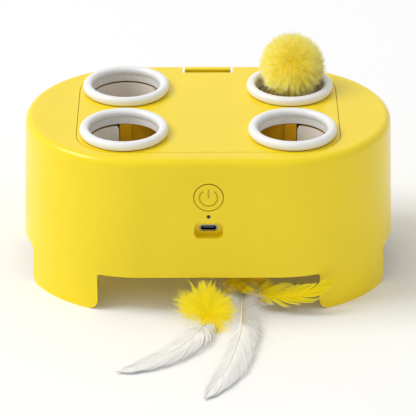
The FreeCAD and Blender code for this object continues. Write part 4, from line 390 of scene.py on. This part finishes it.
def bead_outline():
    """Radius and height above the lid, in millimetres, round the rim's section."""
    middle = (BEAD_REACH + BEAD_INNER) / 2
    half_width = (BEAD_REACH - BEAD_INNER) / 2
    level = BEAD_TOP - BEAD_HALF_HEIGHT
    power = 2 / BEAD_ROUNDNESS
    points = [(NECK_OUTER, -NECK_DEPTH), (NECK_OUTER, 0.02)]
    for step in range(BEAD_STEPS + 1):
        turn = math.radians(BEAD_FROM + (BEAD_TO - BEAD_FROM) * step / BEAD_STEPS)
        c, s = math.cos(turn), math.sin(turn)
        points.append((middle + half_width * math.copysign(abs(c) ** power, c),
                       level + BEAD_HALF_HEIGHT * math.copysign(abs(s) ** power, s)))
    inner = points[-1][0]
    points += [(inner + 0.1, 0.2), (inner + 0.1, -NECK_DEPTH)]
    return points


def rim(corner):
    node = f"ring_{corner}"
    centre = box_middle(node)
    if corner.startswith("front"):
        centre = centre + Vector((0, FRONT_RIM_SHIFT, 0)) * MM
    lid_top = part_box("lid")[1].z
    outline = bead_outline()
    points, faces = [], []
    for step in range(RIM_STEPS):
        turn = 2 * math.pi * step / RIM_STEPS
        for radius, height in outline:
            points.append((centre.x + radius * MM * math.cos(turn),
                           centre.y + radius * MM * math.sin(turn),
                           lid_top + height * MM))
    count = len(outline)
    for step in range(RIM_STEPS):
        for index in range(count):
            a = step * count + index
            b = step * count + (index + 1) % count
            c = (step + 1) % RIM_STEPS * count
            faces.append((a, c + index, c + (index + 1) % count, b))
    thing = new_object(f"rim_{corner}", points, faces, [white])
    smooth(thing, RIM_SHARP)
    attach(thing, "lid")
    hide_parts(node)


for corner in CORNERS:
    rim(corner)


# Contacts: a row of small pads along the front of the port's tongue

CONTACTS = 7
CONTACT_PITCH = 0.78
CONTACT_SIZE = (0.34, 0.1, 0.16)
BOX_FACES = ((0, 1, 3, 2), (4, 6, 7, 5), (0, 4, 5, 1), (2, 3, 7, 6), (0, 2, 6, 4), (1, 5, 7, 3))


def contacts():
    low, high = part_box("usb_tongue")
    points, faces = [], []
    for index in range(CONTACTS):
        middle = (low.x + high.x) / 2 + (index - (CONTACTS - 1) / 2) * CONTACT_PITCH * MM
        first = len(points)
        for x in (-0.5, 0.5):
            for y in (-0.5, 0.5):
                for z in (-0.5, 0.5):
                    points.append((middle + x * CONTACT_SIZE[0] * MM, low.y + y * CONTACT_SIZE[1] * MM,
                                   (low.z + high.z) / 2 + z * CONTACT_SIZE[2] * MM))
        faces += [tuple(first + number for number in face) for face in BOX_FACES]
    thing = new_object("port_contacts", points, faces, [steel])
    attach(thing, "base")


contacts()


# Strands: fur and feather barbs are thin ribbons in one mesh

TUBE_SIDES = 6
BALL_RINGS = 24
# The firm ball under the fur takes the roots' deep gold, painted shade of the fur's depth
BALL_ALONG = 0.15
BALL_TONE = 0.6


class Strands:
    """Gathers strands. along runs from a strand's root, 0, to its tip, 1, and tone is a strand's own."""

    def __init__(self):
        self.points = []
        self.faces = []
        self.along = []
        self.tones = []
        self.slots = []
        self.normals = []

    def ribbon(self, line, side, widths, tone, normals, slot=0, end=1.0):
        """A ribbon along the line: side is the direction of its width, one or a list, and widths are
        half widths. The normals are those of the soft form that the ribbon belongs to."""
        first = len(self.points)
        last = len(line) - 1
        if not isinstance(side, list):
            side = [side] * len(line)
        middle = max(1, last // 2)
        flip = 1
        if side[middle].cross(line[middle + 1] - line[middle - 1]).dot(normals[middle]) < 0:
            flip = -1
        for index, point in enumerate(line):
            offset = side[index] * widths[index] * flip
            self.points += [point - offset, point + offset]
            self.along += [end * index / last] * 2
            self.tones += [tone] * 2
            self.normals += [normals[index]] * 2
        for index in range(last):
            low = first + 2 * index
            self.faces.append((low, low + 1, low + 3, low + 2))
            self.slots.append(slot)

    def tube(self, line, radii, slot):
        first = len(self.points)
        last = len(line) - 1
        for index, point in enumerate(line):
            along = (line[min(index + 1, last)] - line[max(index - 1, 0)]).normalized()
            across = along.cross(Vector((0.13, 0.2, 1.0))).normalized()
            up = across.cross(along)
            for step in range(TUBE_SIDES):
                turn = 2 * math.pi * step / TUBE_SIDES
                offset = across * math.cos(turn) + up * math.sin(turn)
                self.points.append(point + offset * radii[index])
                self.along.append(index / last)
                self.tones.append(1.0)
                self.normals.append(offset.normalized())
        for index in range(last):
            for step in range(TUBE_SIDES):
                a = first + index * TUBE_SIDES + step
                b = first + index * TUBE_SIDES + (step + 1) % TUBE_SIDES
                self.faces.append((a, a + TUBE_SIDES, b + TUBE_SIDES, b))
                self.slots.append(slot)

    def ball(self, centre, radius):
        first = len(self.points)
        around = 2 * BALL_RINGS
        for ring in range(BALL_RINGS + 1):
            tilt = math.pi * ring / BALL_RINGS
            for step in range(around):
                turn = 2 * math.pi * step / around
                out = Vector((math.sin(tilt) * math.cos(turn), math.sin(tilt) * math.sin(turn),
                              math.cos(tilt)))
                self.points.append(centre + out * radius)
                self.along.append(BALL_ALONG)
                self.tones.append(BALL_TONE)
                self.normals.append(out)
        for ring in range(BALL_RINGS):
            for step in range(around):
                a = first + ring * around + step
                b = first + ring * around + (step + 1) % around
                self.faces.append((a, a + around, b + around, b))
                self.slots.append(0)

    def build(self, name, materials):
        thing = new_object(name, [tuple(point) for point in self.points], self.faces, materials)
        mesh = thing.data
        for label, numbers in (("along", self.along), ("tone", self.tones)):
            layer = mesh.attributes.new(label, "FLOAT", "POINT")
            layer.data.foreach_set("value", numbers)
        mesh.polygons.foreach_set("material_index", self.slots)
        mesh.shade_smooth()
        mesh.update()
        mesh.normals_split_custom_set_from_vertices(self.normals)
        return thing


def sphere_directions(count, seed, disorder=0.03):
    """Evenly spread directions with a little disorder."""
    chance = random.Random(seed)
    golden = math.pi * (3 - math.sqrt(5))
    for index in range(count):
        z = 1 - 2 * (index + 0.5) / count
        radius = math.sqrt(max(0.0, 1 - z * z))
        turn = golden * index
        direction = Vector((radius * math.cos(turn), radius * math.sin(turn), z))
        jitter = Vector([chance.uniform(-1, 1) for _ in range(3)]) * disorder
        yield (direction + jitter).normalized()


# Fur: radii of the plain ball below it, of the hairs' roots and of their tips
FUR_CORE = 15.2 * MM
FUR_ROOT = 14.5 * MM
FUR_REACH = 16.5 * MM
FUR_STEPS = 6
FUR_TUFTS = 560
GUARD_HAIRS = 0.28
HAIRS_RAISED, HAIRS_LOWERED = 24000, 12000
# The hairs are combed away from the whorl, in full from WHORL_SIZE on and not at all beyond COMB_END,
# both angles from the whorl in radians
WHORL = Vector((-0.01, -0.795, 0.601)).normalized()
WHORL_SIZE = 0.8
COMB_END = 3.3
COMB = 0.62
# Slow waves through the fur, the disorder of single hairs, and how far tips gather in their tuft
WAVE_SCALE, WAVE_REACH = 3.2, 0.12
STRAY = 0.035
TUFT_PULL = (0.7, 1.15)
# Half widths at the root in millimetres, and how much of them is gone at the tip
HAIR_WIDTH = (0.10, 0.18)
HAIR_TAPER = 0.88
# Guard hairs against the others: their length, comb and width
GUARD_LENGTH = (1.02, 1.14)
GUARD_COMB = 0.35
GUARD_WIDTH = 0.65
# How much of a hair's shading is its own face's, and how much light from above it takes
OWN_FACE, FROM_ABOVE = 0.45, 0.9
TUFT_TONE = 0.45
PALE_AT_WHORL = 0.72
# How far the fur's middle stands outward from the firm ball's, along its lever
FUR_SHIFT = 4.0 * MM
SWING = math.radians(56.6)
RAISED = "rear_right"
HOLE_X, HOLE_Y = 44.5, 28.2
FIRST_FUR_SEED = 11
# Blender seeds its vector noise from the clock, so it gets a seed of its own
NOISE_SEED = 7
noise.seed_set(NOISE_SEED)


def fur_pompom(corner, seed, count):
    """Long fur that is combed away from one whorl, its tips gathered in small tufts."""
    node = f"pompom_{corner}"
    side, end = SIGNS[corner]
    outward = Vector((side * HOLE_X, end * HOLE_Y, 0)).normalized()
    drop = 0.0 if corner == RAISED else SWING
    lean_out = outward * math.cos(drop) - UP * math.sin(drop)
    centre = box_middle(node) + lean_out * FUR_SHIFT
    chance = random.Random(seed)
    tufts = list(sphere_directions(FUR_TUFTS, seed + 50, disorder=0.06))
    tree = KDTree(len(tufts))
    for index, tuft in enumerate(tufts):
        tree.insert(tuft, index)
    tree.balance()
    middle = Strands()
    middle.ball(centre, FUR_CORE)
    strands = Strands()
    tuft_length = [1 + chance.gauss(0, 0.032) for _ in tufts]
    for direction in sphere_directions(count, seed):
        from_whorl = direction.angle(WHORL)
        away = direction * direction.dot(WHORL) - WHORL
        away = away.normalized() if away.length > 1e-4 else Vector((1, 0, 0))
        comb = COMB * min(1.0, from_whorl / WHORL_SIZE) * max(0.0, 1 - from_whorl / COMB_END)
        wave = noise.noise_vector(direction * WAVE_SCALE + Vector((seed, 0, 0))) * WAVE_REACH
        stray = Vector([chance.gauss(0, 1) for _ in range(3)]) * STRAY
        number = tree.find(direction)[1]
        tuft = tufts[number]
        length = FUR_REACH * (tuft_length[number] + chance.gauss(0, 0.03))
        gather = (tuft - direction) * chance.uniform(*TUFT_PULL)
        fine = 1.0
        if chance.random() < GUARD_HAIRS:
            # guard hairs stand out of the combed fur
            length *= chance.uniform(*GUARD_LENGTH)
            comb *= GUARD_COMB
            fine = GUARD_WIDTH
        line, outs = [], []
        for step in range(FUR_STEPS):
            part = step / (FUR_STEPS - 1)
            radius = FUR_ROOT + (length - FUR_ROOT) * part
            bend = direction + away * comb * part ** 1.1 + (wave + stray + gather) * part * part
            bend.normalize()
            line.append(centre + bend * radius)
            outs.append(bend)
        across = (line[-1] - line[0]).cross(direction + stray * 2).normalized()
        if across.length < 0.5:
            across = direction.orthogonal().normalized()
        facing = across.cross(line[-1] - line[0]).normalized()
        if facing.dot(direction) < 0:
            facing = -facing
        normals = [(facing * OWN_FACE + out + UP * FROM_ABOVE).normalized() for out in outs]
        width = chance.uniform(*HAIR_WIDTH) * fine * MM
        widths = [width * (1 - HAIR_TAPER * (step / (FUR_STEPS - 1)) ** 1.4)
                  for step in range(FUR_STEPS)]
        shared = TUFT_TONE * (0.5 + 0.5 * noise.noise(tuft * 9.0))
        tone = (1 - TUFT_TONE) * chance.random() + shared
        # tips are painted pale, for light that shines through them, apart from those near the whorl,
        # where the deep gold shows as painted shade
        pale = PALE_AT_WHORL + (1 - PALE_AT_WHORL) * min(1.0, from_whorl / WHORL_SIZE)
        strands.ribbon(line, across, widths, tone, normals, end=pale)
    fur = strands.build(f"fur_{corner}", [fur_yellow])
    # light passes through fine hair, and the middle alone shades what lies behind it
    fur.visible_shadow = False
    for thing in (fur, middle.build(f"fur_middle_{corner}", [fur_yellow])):
        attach(thing, f"lever_{corner}")
        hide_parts(node)


for number, corner in enumerate(CORNERS):
    fur_pompom(corner, FIRST_FUR_SEED + number, HAIRS_RAISED if corner == RAISED else HAIRS_LOWERED)


# Feathers: a quill, a closed vane of barbs on both its sides, and loose down at its root

SEEDS = {"white_middle": 5, "white_left": 6, "yellow_right": 7, "yellow_left": 21}
RUN_STEPS = 24
QUILL_STEPS = 40
# The quill ends just short of its feather's tip
QUILL_END = 0.97
BARB_STEPS = 8
DOWN_STEPS = 7
SKIRT_STEPS = 6
# Places in a feather's list of materials
OF_BARBS, OF_QUILL, OF_SHADED_ROOT = 0, 1, 2


class Spine:
    """A smooth curve through the route's points, in millimetres from the middle of the footprint, with
    a frame at each part of its length. face is the way that its flat side looks."""

    def __init__(self, route, face):
        points = [spot(*place) for place in route]
        curve = []
        for index in range(len(points) - 1):
            a = points[max(index - 1, 0)]
            b, c = points[index], points[index + 1]
            d = points[min(index + 2, len(points) - 1)]
            for step in range(RUN_STEPS):
                t = step / RUN_STEPS
                curve.append(0.5 * ((2 * b) + (c - a) * t + (2 * a - 5 * b + 4 * c - d) * t * t
                                    + (3 * b - a - 3 * c + d) * t ** 3))
        curve.append(points[-1])
        marks = [0.0]
        for before, after in zip(curve, curve[1:]):
            marks.append(marks[-1] + (after - before).length)
        self.curve, self.marks, self.length, self.face = curve, marks, marks[-1], face

    def point(self, part):
        goal = part * self.length
        at = min(max(bisect.bisect_right(self.marks, goal) - 1, 0), len(self.curve) - 2)
        run = self.marks[at + 1] - self.marks[at]
        return self.curve[at].lerp(self.curve[at + 1], (goal - self.marks[at]) / max(run, 1e-9))

    def frame(self, part):
        along = (self.point(min(part + 0.02, 1.0)) - self.point(min(part, 1.0) - 0.02)).normalized()
        across = self.face.cross(along).normalized()
        return self.point(part), along, across, along.cross(across).normalized()


def profile(stops, part):
    """A value between the stops: pairs of place along the feather and value."""
    for (before, low), (after, high) in zip(stops, stops[1:]):
        if part <= after:
            share = min(max((part - before) / max(after - before, 1e-9), 0.0), 1.0)
            share = share * share * (3 - 2 * share)
            return low + (high - low) * share
    return stops[-1][1]


# Feathers stay above the floor and below the housing's front arch
FLOOR_GAP = 0.3 * MM
ARCH_TOP = 20.8 * MM


def keep_clear(point):
    point.z = min(max(point.z, FLOOR_GAP), ARCH_TOP)
    return point


def quill(strands, spine, thick, thin, slot=OF_QUILL):
    """thick and thin are its radii at the root and at the tip, in millimetres."""
    shares = [step / QUILL_STEPS for step in range(QUILL_STEPS + 1)]
    strands.tube([spine.point(QUILL_END * share) for share in shares],
                 [(thick + (thin - thick) * share) * MM for share in shares], slot)


def vane(strands, spine, chance, start, widths, sweeps, pitch, splits, frayed, camber, group_size,
         closed, cling, slot=OF_BARBS, loose_until=0.0):
    """Barbs from the quill to the outline. widths: stops of half width in mm, one set a side.
    sweeps: how far a barb runs forward on each side, in half widths. splits: how far groups part at
    the edge, in mm. frayed: how much the barbs' lengths differ. camber: how far the vane arches, in
    mm. closed: half a barb's width, in pitches. cling: how far a group's tips gather. The barbs are
    looser up to loose_until."""
    count = int(spine.length * (1 - start) / (pitch * MM))
    for side in (-1, 1):
        outline = widths[0] if side < 0 else widths[1]
        sweep = sweeps[0] if side < 0 else sweeps[1]
        size, left, shift, trim, shade_of_group, lift = 1, 0, 0.0, 1.0, 0.5, 0.0
        for index in range(count):
            origin = start + (1 - start) * index / count
            loose = max(0.0, 1 - origin / loose_until) if loose_until else 0.0
            if left <= 0:
                size = int(chance.uniform(*group_size))
                left = size
                shift = chance.gauss(0, 1) * splits * (1 + 2 * loose)
                trim = 1 - abs(chance.gauss(0, 1)) * frayed
                lift = chance.gauss(0, 0.5) * splits
                shade_of_group = chance.random()
            left -= 1
            across_group = 2 * (left + 0.5) / size - 1
            gather = across_group * size * pitch / 2 * min(1.0, cling + 0.8 * loose)
            reach = trim * (1 - abs(chance.gauss(0, 1)) * frayed * 0.5) * (1 - 0.12 * across_group ** 2)
            roll = 0.10 + chance.gauss(0, 0.05)
            room = (1 - origin) * spine.length / MM
            forward = min(sweep * profile(outline, origin), room * 0.95)
            drift = (shift + gather) * min(1.0, room / 12)
            line, alongs, normals = [], [], []
            for step in range(BARB_STEPS):
                v = step / (BARB_STEPS - 1)
                part = min(origin + (forward * v ** 1.2 + drift * v * v) * MM / spine.length, 1.0)
                point, along, across, normal = spine.frame(part)
                here = profile(outline, part) * MM * reach
                place = (point + across * side * v ** 0.9 * here
                         + normal * (camber * v * (1.4 - v) + lift * v) * MM)
                line.append(keep_clear(place))
                alongs.append(along)
                normals.append((normal + across * side * 0.3 * (v - 0.35) + along * roll).normalized())
            sides, spread_of_barb = [], []
            for step in range(BARB_STEPS):
                run = line[min(step + 1, BARB_STEPS - 1)] - line[max(step - 1, 0)]
                square = run.cross(normals[step]).normalized()
                sides.append(square)
                # swept barbs lie closer together than their roots do
                share = max(0.4, abs(square.dot(alongs[step])))
                fade = 1 - 0.6 * (step / (BARB_STEPS - 1)) ** 4
                spread_of_barb.append(closed * pitch * share * fade * MM)
            tone = 0.7 * shade_of_group + 0.3 * chance.random()
            strands.ribbon(line, sides, spread_of_barb, tone, normals, slot)


def down(strands, spine, chance, count, first, last, length, forward, rise, slot=OF_BARBS,
         width=0.11, curl=0.5, sides=(-1, 1)):
    """Loose soft barbs near a feather's root, between the parts first and last of its length.
    forward: range of their aim along the quill. rise: their mean aim off the vane's face."""
    for _ in range(count):
        part = chance.uniform(first, last)
        point, along, across, normal = spine.frame(part)
        side = chance.choice(sides)
        aim = (across * side + along * chance.uniform(*forward) + normal * chance.gauss(rise, 0.4))
        aim.normalize()
        turn = Vector([chance.gauss(0, 1) for _ in range(3)]) * curl
        reach = length * MM * chance.uniform(0.45, 1.0)
        line, widths = [], []
        place = point.copy()
        for step in range(DOWN_STEPS):
            t = step / (DOWN_STEPS - 1)
            line.append(keep_clear(place.copy()))
            widths.append(width * MM * (1 - 0.75 * t))
            heading = (aim + turn * t * t + along * 0.3 * t).normalized()
            place = place + heading * reach / (DOWN_STEPS - 1)
        strands.ribbon(line, aim.cross(TOWARD_CAMERA).normalized(), widths, chance.random(),
                       [(TOWARD_CAMERA + aim * 0.2 + UP * 0.6).normalized()] * DOWN_STEPS, slot)


def finish_feather(strands, name, materials, form="barbs"):
    thing = strands.build(f"{form}_{name}", materials)
    # light passes through the fluff, and the closed vanes alone shade what lies behind them
    thing.visible_shadow = form == "barbs"
    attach(thing, "feathers")
    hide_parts(f"feather_{name}")


def white_middle():
    chance = random.Random(SEEDS["white_middle"])
    spine = Spine(((16.2, -53.3, 9.5), (17.8, -58, 7.2), (17.5, -66.4, 5.2), (16.5, -90.1, 3.5),
                   (13.6, -106.8, 2.6), (10.3, -122.2, 2.1), (4.8, -137.2, 1.5), (-2.7, -156.0, 1)), UP)
    strands = Strands()
    quill(strands, spine, thick=0.6, thin=0.1)
    left = ((0.12, 2.5), (0.26, 4.2), (0.4, 4.6), (0.58, 5.6), (0.74, 5.8), (0.9, 3.4), (1.0, 0.3))
    right = ((0.10, 5.0), (0.22, 8.0), (0.36, 10.0), (0.54, 10.6), (0.70, 10.6), (0.82, 8.8),
             (0.93, 5.2), (1.0, 0.4))
    vane(strands, spine, chance, start=0.1, widths=(left, right), sweeps=(2.8, 2.4), pitch=0.28,
         splits=0.35, frayed=0.02, camber=0.5, group_size=(4, 14), closed=1.0, cling=0.12,
         loose_until=0.4)
    finish_feather(strands, "white_middle", [feather_white, quill_material])
    fluff = Strands()
    down(fluff, spine, chance, count=420, first=0.02, last=0.18, length=14, forward=(-0.4, 1.8),
         rise=0.5, width=0.12)
    down(fluff, spine, chance, count=260, first=0.04, last=0.30, length=26, forward=(0.5, 2.2),
         rise=0.2, width=0.12, curl=0.16, sides=(1,))
    down(fluff, spine, chance, count=160, first=0.06, last=0.26, length=14, forward=(1.0, 2.6),
         rise=0.2, width=0.12, curl=0.16, sides=(-1,))
    finish_feather(fluff, "white_middle", [feather_cream], form="down")


def white_left():
    chance = random.Random(SEEDS["white_left"])
    spine = Spine(((13.7, -53.1, 6.5), (6.5, -64.5, 4.4), (-0.7, -77.2, 3.5), (-6.9, -92.3, 3.0),
                   (-13.8, -103.4, 2.5), (-21.6, -111.7, 2.0), (-30.2, -118.9, 1.7),
                   (-38.7, -124.6, 1.3), (-47.6, -129, 1)), UP)
    strands = Strands()
    quill(strands, spine, thick=0.55, thin=0.1)
    upper = ((0.22, 2.0), (0.36, 7.0), (0.5, 7.4), (0.7, 6.9), (0.84, 5.0), (0.93, 2.8), (1.0, 0.3))
    lower = ((0.22, 3.0), (0.34, 8.0), (0.46, 10.4), (0.7, 9.8), (0.82, 7.6), (0.92, 4.6), (1.0, 0.4))
    vane(strands, spine, chance, start=0.26, widths=(upper, lower), sweeps=(2.1, 1.9), pitch=0.28,
         splits=0.35, frayed=0.02, camber=0.5, group_size=(4, 14), closed=1.0, cling=0.12,
         loose_until=0.55)
    finish_feather(strands, "white_left", [feather_white, quill_material])
    fluff = Strands()
    down(fluff, spine, chance, count=240, first=0.18, last=0.42, length=13, forward=(0.2, 1.8),
         rise=0.2, width=0.10, curl=0.3)
    finish_feather(fluff, "white_left", [feather_cream], form="down")


def yellow_right():
    chance = random.Random(SEEDS["yellow_right"])
    spine = Spine(((16.5, -53.1, 12), (19.5, -57.5, 10.4), (27.3, -61, 9.2), (36.9, -64, 9.6),
                   (44.9, -66, 11.2), (57, -66, 14.5), (69.5, -63, 21.7)), TOWARD_CAMERA)
    strands = Strands()
    quill(strands, spine, thick=0.35, thin=0.1, slot=OF_BARBS)
    upper = ((0.14, 1.5), (0.3, 8.6), (0.45, 8.4), (0.58, 6.4), (0.8, 3.9), (0.92, 2.0), (1.0, 0.3))
    lower = ((0.2, 1.2), (0.36, 5.0), (0.48, 6.0), (0.68, 6.0), (0.82, 3.8), (0.92, 1.8), (1.0, 0.3))
    vane(strands, spine, chance, start=0.14, widths=(lower, upper), sweeps=(2.2, 1.9), pitch=0.30,
         splits=0.9, frayed=0.05, camber=0.5, group_size=(8, 22), closed=0.8, cling=0.75)
    root = Spine(((9.5, -57.5, 15.8), (15.5, -58.5, 13.8), (21.5, -59.5, 11.0), (30, -61, 9.0)),
                 TOWARD_CAMERA)
    edge = ((0.0, 1.6), (0.25, 3.4), (0.6, 2.6), (1.0, 0.6))
    vane(strands, root, chance, start=0.0, widths=(edge, edge), sweeps=(1.6, 1.6), pitch=0.28,
         splits=0.3, frayed=0.06, camber=0.4, group_size=(5, 12), closed=0.9, cling=0.4)
    # a broad vane behind, in the root's deep gold: painted shade of a feather lying in the housing's
    # shadow
    shadow = Spine(((11, -53.6, 17.2), (18, -53.6, 16.4), (26, -54, 14.0), (35.5, -55, 9.8)),
                   TOWARD_CAMERA)
    broad = ((0.0, 2.5), (0.3, 4.6), (0.7, 4.2), (1.0, 1.0))
    vane(strands, shadow, chance, start=0.0, widths=(broad, broad), sweeps=(1.6, 1.6), pitch=0.28,
         splits=0.5, frayed=0.08, camber=0.4, group_size=(5, 12), closed=0.9, cling=0.4, slot=OF_SHADED_ROOT)
    down(strands, spine, chance, count=110, first=0.04, last=0.25, length=9, forward=(-0.2, 1.4),
         rise=0.2, slot=OF_SHADED_ROOT)
    down(strands, root, chance, count=160, first=0.0, last=0.5, length=7, forward=(-1.6, 0.6),
         rise=0.1, slot=OF_SHADED_ROOT)
    finish_feather(strands, "yellow_right", [feather_yellow, quill_yellow, shaded_feather_root])


FAN_ROOT = spot(-0.5, -78, 5.0)
FAN_TOP = spot(-1.8, -67, 20.7)
# Reach of the barbs in millimetres at each heading: degrees from upright, positive to the right
FAN_REACH = ((-92, 11), (-80, 14.5), (-66, 17.5), (-50, 17), (-30, 16.4), (-12, 16.8), (0, 19.8),
             (8, 18), (20, 15.8), (44, 14.4), (62, 16.3), (80, 16.8), (92, 15.6), (106, 13))
FAN_RISE = (FAN_TOP - FAN_ROOT).normalized()
FAN_RIGHT = Vector((1, 0, 0))
FAN_OUT = FAN_RIGHT.cross(FAN_RISE).normalized()
FAN_TUFTS = 250
BARBS_IN_TUFT = 13
# Half of a tuft's spread in degrees, and its reach against the fan's
TUFT_SPREAD = (3, 8)
TUFT_REACH = (0.84, 1.16)
# Left of this heading, this share of the tufts is longer than the others, by these factors
LONG_FROM, LONG_TUFTS, LONG_REACH = -20, 0.3, (1.08, 1.28)
# How far left barbs curl up from a lower start
FAN_SAG = math.radians(18)
SKIRT_BARBS = 230
# Headings of the skirt's barbs, as in FAN_REACH: least, greatest and likeliest
SKIRT_HEADINGS = (95, 255, 150)
SKIRT_REACH = (6.5, 13.0)


def fan(strands, chance):
    """Tufts of barbs that spread from the root."""
    for _ in range(FAN_TUFTS):
        middle = chance.uniform(FAN_REACH[0][0], FAN_REACH[-1][0])
        spread_of_tuft = chance.uniform(*TUFT_SPREAD)
        lift = chance.gauss(0.0, 0.03)
        own_reach = chance.uniform(*TUFT_REACH)
        if middle < LONG_FROM and chance.random() < LONG_TUFTS:
            own_reach *= chance.uniform(*LONG_REACH)
        start = chance.random() ** 1.3 * 0.5
        own_reach *= 1 + 0.25 * start
        wave = chance.gauss(0, 8) + (14 if middle > 0 else -8)
        shade_of_tuft = chance.random()
        for index in range(BARBS_IN_TUFT):
            beside = 2 * (index + 0.5) / BARBS_IN_TUFT - 1 + chance.gauss(0, 0.1)
            turn = math.radians(middle + beside * spread_of_tuft)
            tip = math.radians(middle + beside * spread_of_tuft * 0.2 + wave)
            # left barbs set out lower and curl up, and right ones run straight
            sag = FAN_SAG * min(1.0, max(0.0, -middle / 50))
            length = profile(FAN_REACH, middle) * own_reach * (1 - 0.34 * abs(beside)) * MM
            length *= 1 - 0.08 * chance.random()
            length *= 1 - 0.5 * start
            line, widths, normals = [], [], []
            place = FAN_ROOT + FAN_RISE * start * 10 * MM
            for step in range(BARB_STEPS):
                t = step / (BARB_STEPS - 1)
                line.append(keep_clear(place.copy()))
                widths.append((0.19 - 0.155 * t ** 1.4) * MM)
                angle = turn + (tip - turn) * t * t + sag * (1.2 * t - 0.6)
                now = (FAN_RISE * math.cos(angle) + FAN_RIGHT * math.sin(angle)
                       + FAN_OUT * (0.22 - 0.5 * t + lift))
                normals.append((FAN_OUT + now * 0.3 * (t - 0.4) + UP * 0.8).normalized())
                place = place + now.normalized() * (length / (BARB_STEPS - 1))
            across = FAN_OUT.cross(line[-1] - line[0]).normalized()
            strands.ribbon(line, across, widths, 0.7 * shade_of_tuft + 0.3 * chance.random(), normals)


def skirt(strands, chance):
    """Loose down that hangs from the fan's root, over the white feather below."""
    for _ in range(SKIRT_BARBS):
        angle = math.radians(chance.triangular(*SKIRT_HEADINGS))
        bend = chance.gauss(0, 0.35)
        reach = chance.uniform(*SKIRT_REACH) * MM
        place = (FAN_ROOT + FAN_RIGHT * chance.uniform(-2.0, 5.0) * MM
                 + FAN_RISE * chance.uniform(0, 2) * MM + FAN_OUT * 1.1 * MM)
        line, widths, normals = [], [], []
        for step in range(SKIRT_STEPS):
            t = step / (SKIRT_STEPS - 1)
            line.append(keep_clear(place.copy()))
            widths.append((0.13 - 0.09 * t) * MM)
            now = FAN_RISE * math.cos(angle + bend * t) + FAN_RIGHT * math.sin(angle + bend * t)
            now += FAN_OUT * (0.6 - 0.75 * t)
            normals.append((FAN_OUT + UP * 0.8).normalized())
            place = place + now.normalized() * (reach / (SKIRT_STEPS - 1))
        across = FAN_OUT.cross(line[-1] - line[0]).normalized()
        strands.ribbon(line, across, widths, chance.random(), normals)


def plume():
    """The fluffy yellow feather: tufts of barbs fan out from a short upturned quill."""
    chance = random.Random(SEEDS["yellow_left"])
    strands = Strands()
    spine = Spine(((13.6, -53.2, 14.5), (6, -65, 9), (-0.5, -77.6, 5), (-1.2, -73.5, 10)), TOWARD_CAMERA)
    quill(strands, spine, thick=0.6, thin=0.15, slot=OF_BARBS)
    fan(strands, chance)
    root = Spine(((5, -66, 9), (-0.8, -78, 5.4), (-0.9, -78.4, 5.4)), TOWARD_CAMERA)
    down(strands, root, chance, count=260, first=0.80, last=1.0, length=13, forward=(-0.2, 1.4),
         rise=-0.3, width=0.09, curl=0.35)
    skirt(strands, chance)
    finish_feather(strands, "yellow_left", [feather_yellow, quill_yellow],
                   form="plume")


white_middle()
white_left()
yellow_right()
plume()


# Stage: a wide white floor, a white room around it, and soft studio lights

FLOOR_HALF = 6.0
LAMP_AIM = spot(0, 0, 40)
# Strength of the room's light from the left and from the right
ROOM_LEFT, ROOM_RIGHT = 0.79, 0.47


def stage_material():
    material, tree, shader = new_material("stage_white")
    tones = ramp(tree, noise_node(tree, scale=3.0),
                 ((0.3, (0.98, 0.983, 0.99)), (0.7, (0.985, 0.988, 0.995))))
    tree.links.new(tones, shader.inputs["Base Color"])
    shader.inputs["Roughness"].default_value = 0.9
    shader.inputs["Specular IOR Level"].default_value = 0.1
    return material


def make_stage():
    corners = [(x * FLOOR_HALF, y * FLOOR_HALF, 0) for x, y in ((-1, -1), (1, -1), (1, 1), (-1, 1))]
    new_object("floor", corners, [(0, 1, 2, 3)], [stage_material()])


def area_light(name, place, side, power):
    """A square lamp that is aimed at the housing's middle."""
    data = bpy.data.lights.new(name, "AREA")
    data.shape = "RECTANGLE"
    data.size = data.size_y = side
    data.energy = power
    light = bpy.data.objects.new(name, data)
    bpy.context.scene.collection.objects.link(light)
    light.location = place
    light.rotation_mode = "QUATERNION"
    light.rotation_quaternion = (LAMP_AIM - place).to_track_quat("-Z", "Y")


def make_world():
    world = bpy.data.worlds.new("studio")
    bpy.context.scene.world = world
    world.use_nodes = True
    tree = world.node_tree
    ground = tree.nodes["Background"]
    ground.inputs["Color"].default_value = (1, 1, 1, 1)
    toward = tree.nodes.new("ShaderNodeTexCoord")
    parts = tree.nodes.new("ShaderNodeSeparateXYZ")
    tree.links.new(toward.outputs["Generated"], parts.inputs["Vector"])
    level = tree.nodes.new("ShaderNodeMapRange")
    level.inputs["From Min"].default_value = -1.0
    level.inputs["From Max"].default_value = 1.0
    level.inputs["To Min"].default_value = ROOM_LEFT
    level.inputs["To Max"].default_value = ROOM_RIGHT
    tree.links.new(parts.outputs["X"], level.inputs["Value"])
    tree.links.new(level.outputs["Result"], ground.inputs["Strength"])
    # seen by the camera or in a reflection, the room is plain white
    seen = tree.nodes.new("ShaderNodeBackground")
    seen.inputs["Color"].default_value = (1, 1, 1, 1)
    seen.inputs["Strength"].default_value = 1.0
    path = tree.nodes.new("ShaderNodeLightPath")
    mix = tree.nodes.new("ShaderNodeMixShader")
    either = path.outputs["Is Camera Ray"]
    for kind in ("Is Glossy Ray", "Is Transmission Ray"):
        add = tree.nodes.new("ShaderNodeMath")
        add.operation = "MAXIMUM"
        tree.links.new(either, add.inputs[0])
        tree.links.new(path.outputs[kind], add.inputs[1])
        either = add.outputs[0]
    tree.links.new(either, mix.inputs["Fac"])
    tree.links.new(ground.outputs["Background"], mix.inputs[1])
    tree.links.new(seen.outputs["Background"], mix.inputs[2])
    tree.links.new(mix.outputs["Shader"], tree.nodes["World Output"].inputs["Surface"])


make_stage()
make_world()
area_light("key", spot(-3900, -100, 4600), side=2.8, power=185.0)
area_light("glint", spot(3600, -900, 2800), side=0.7, power=5.0)
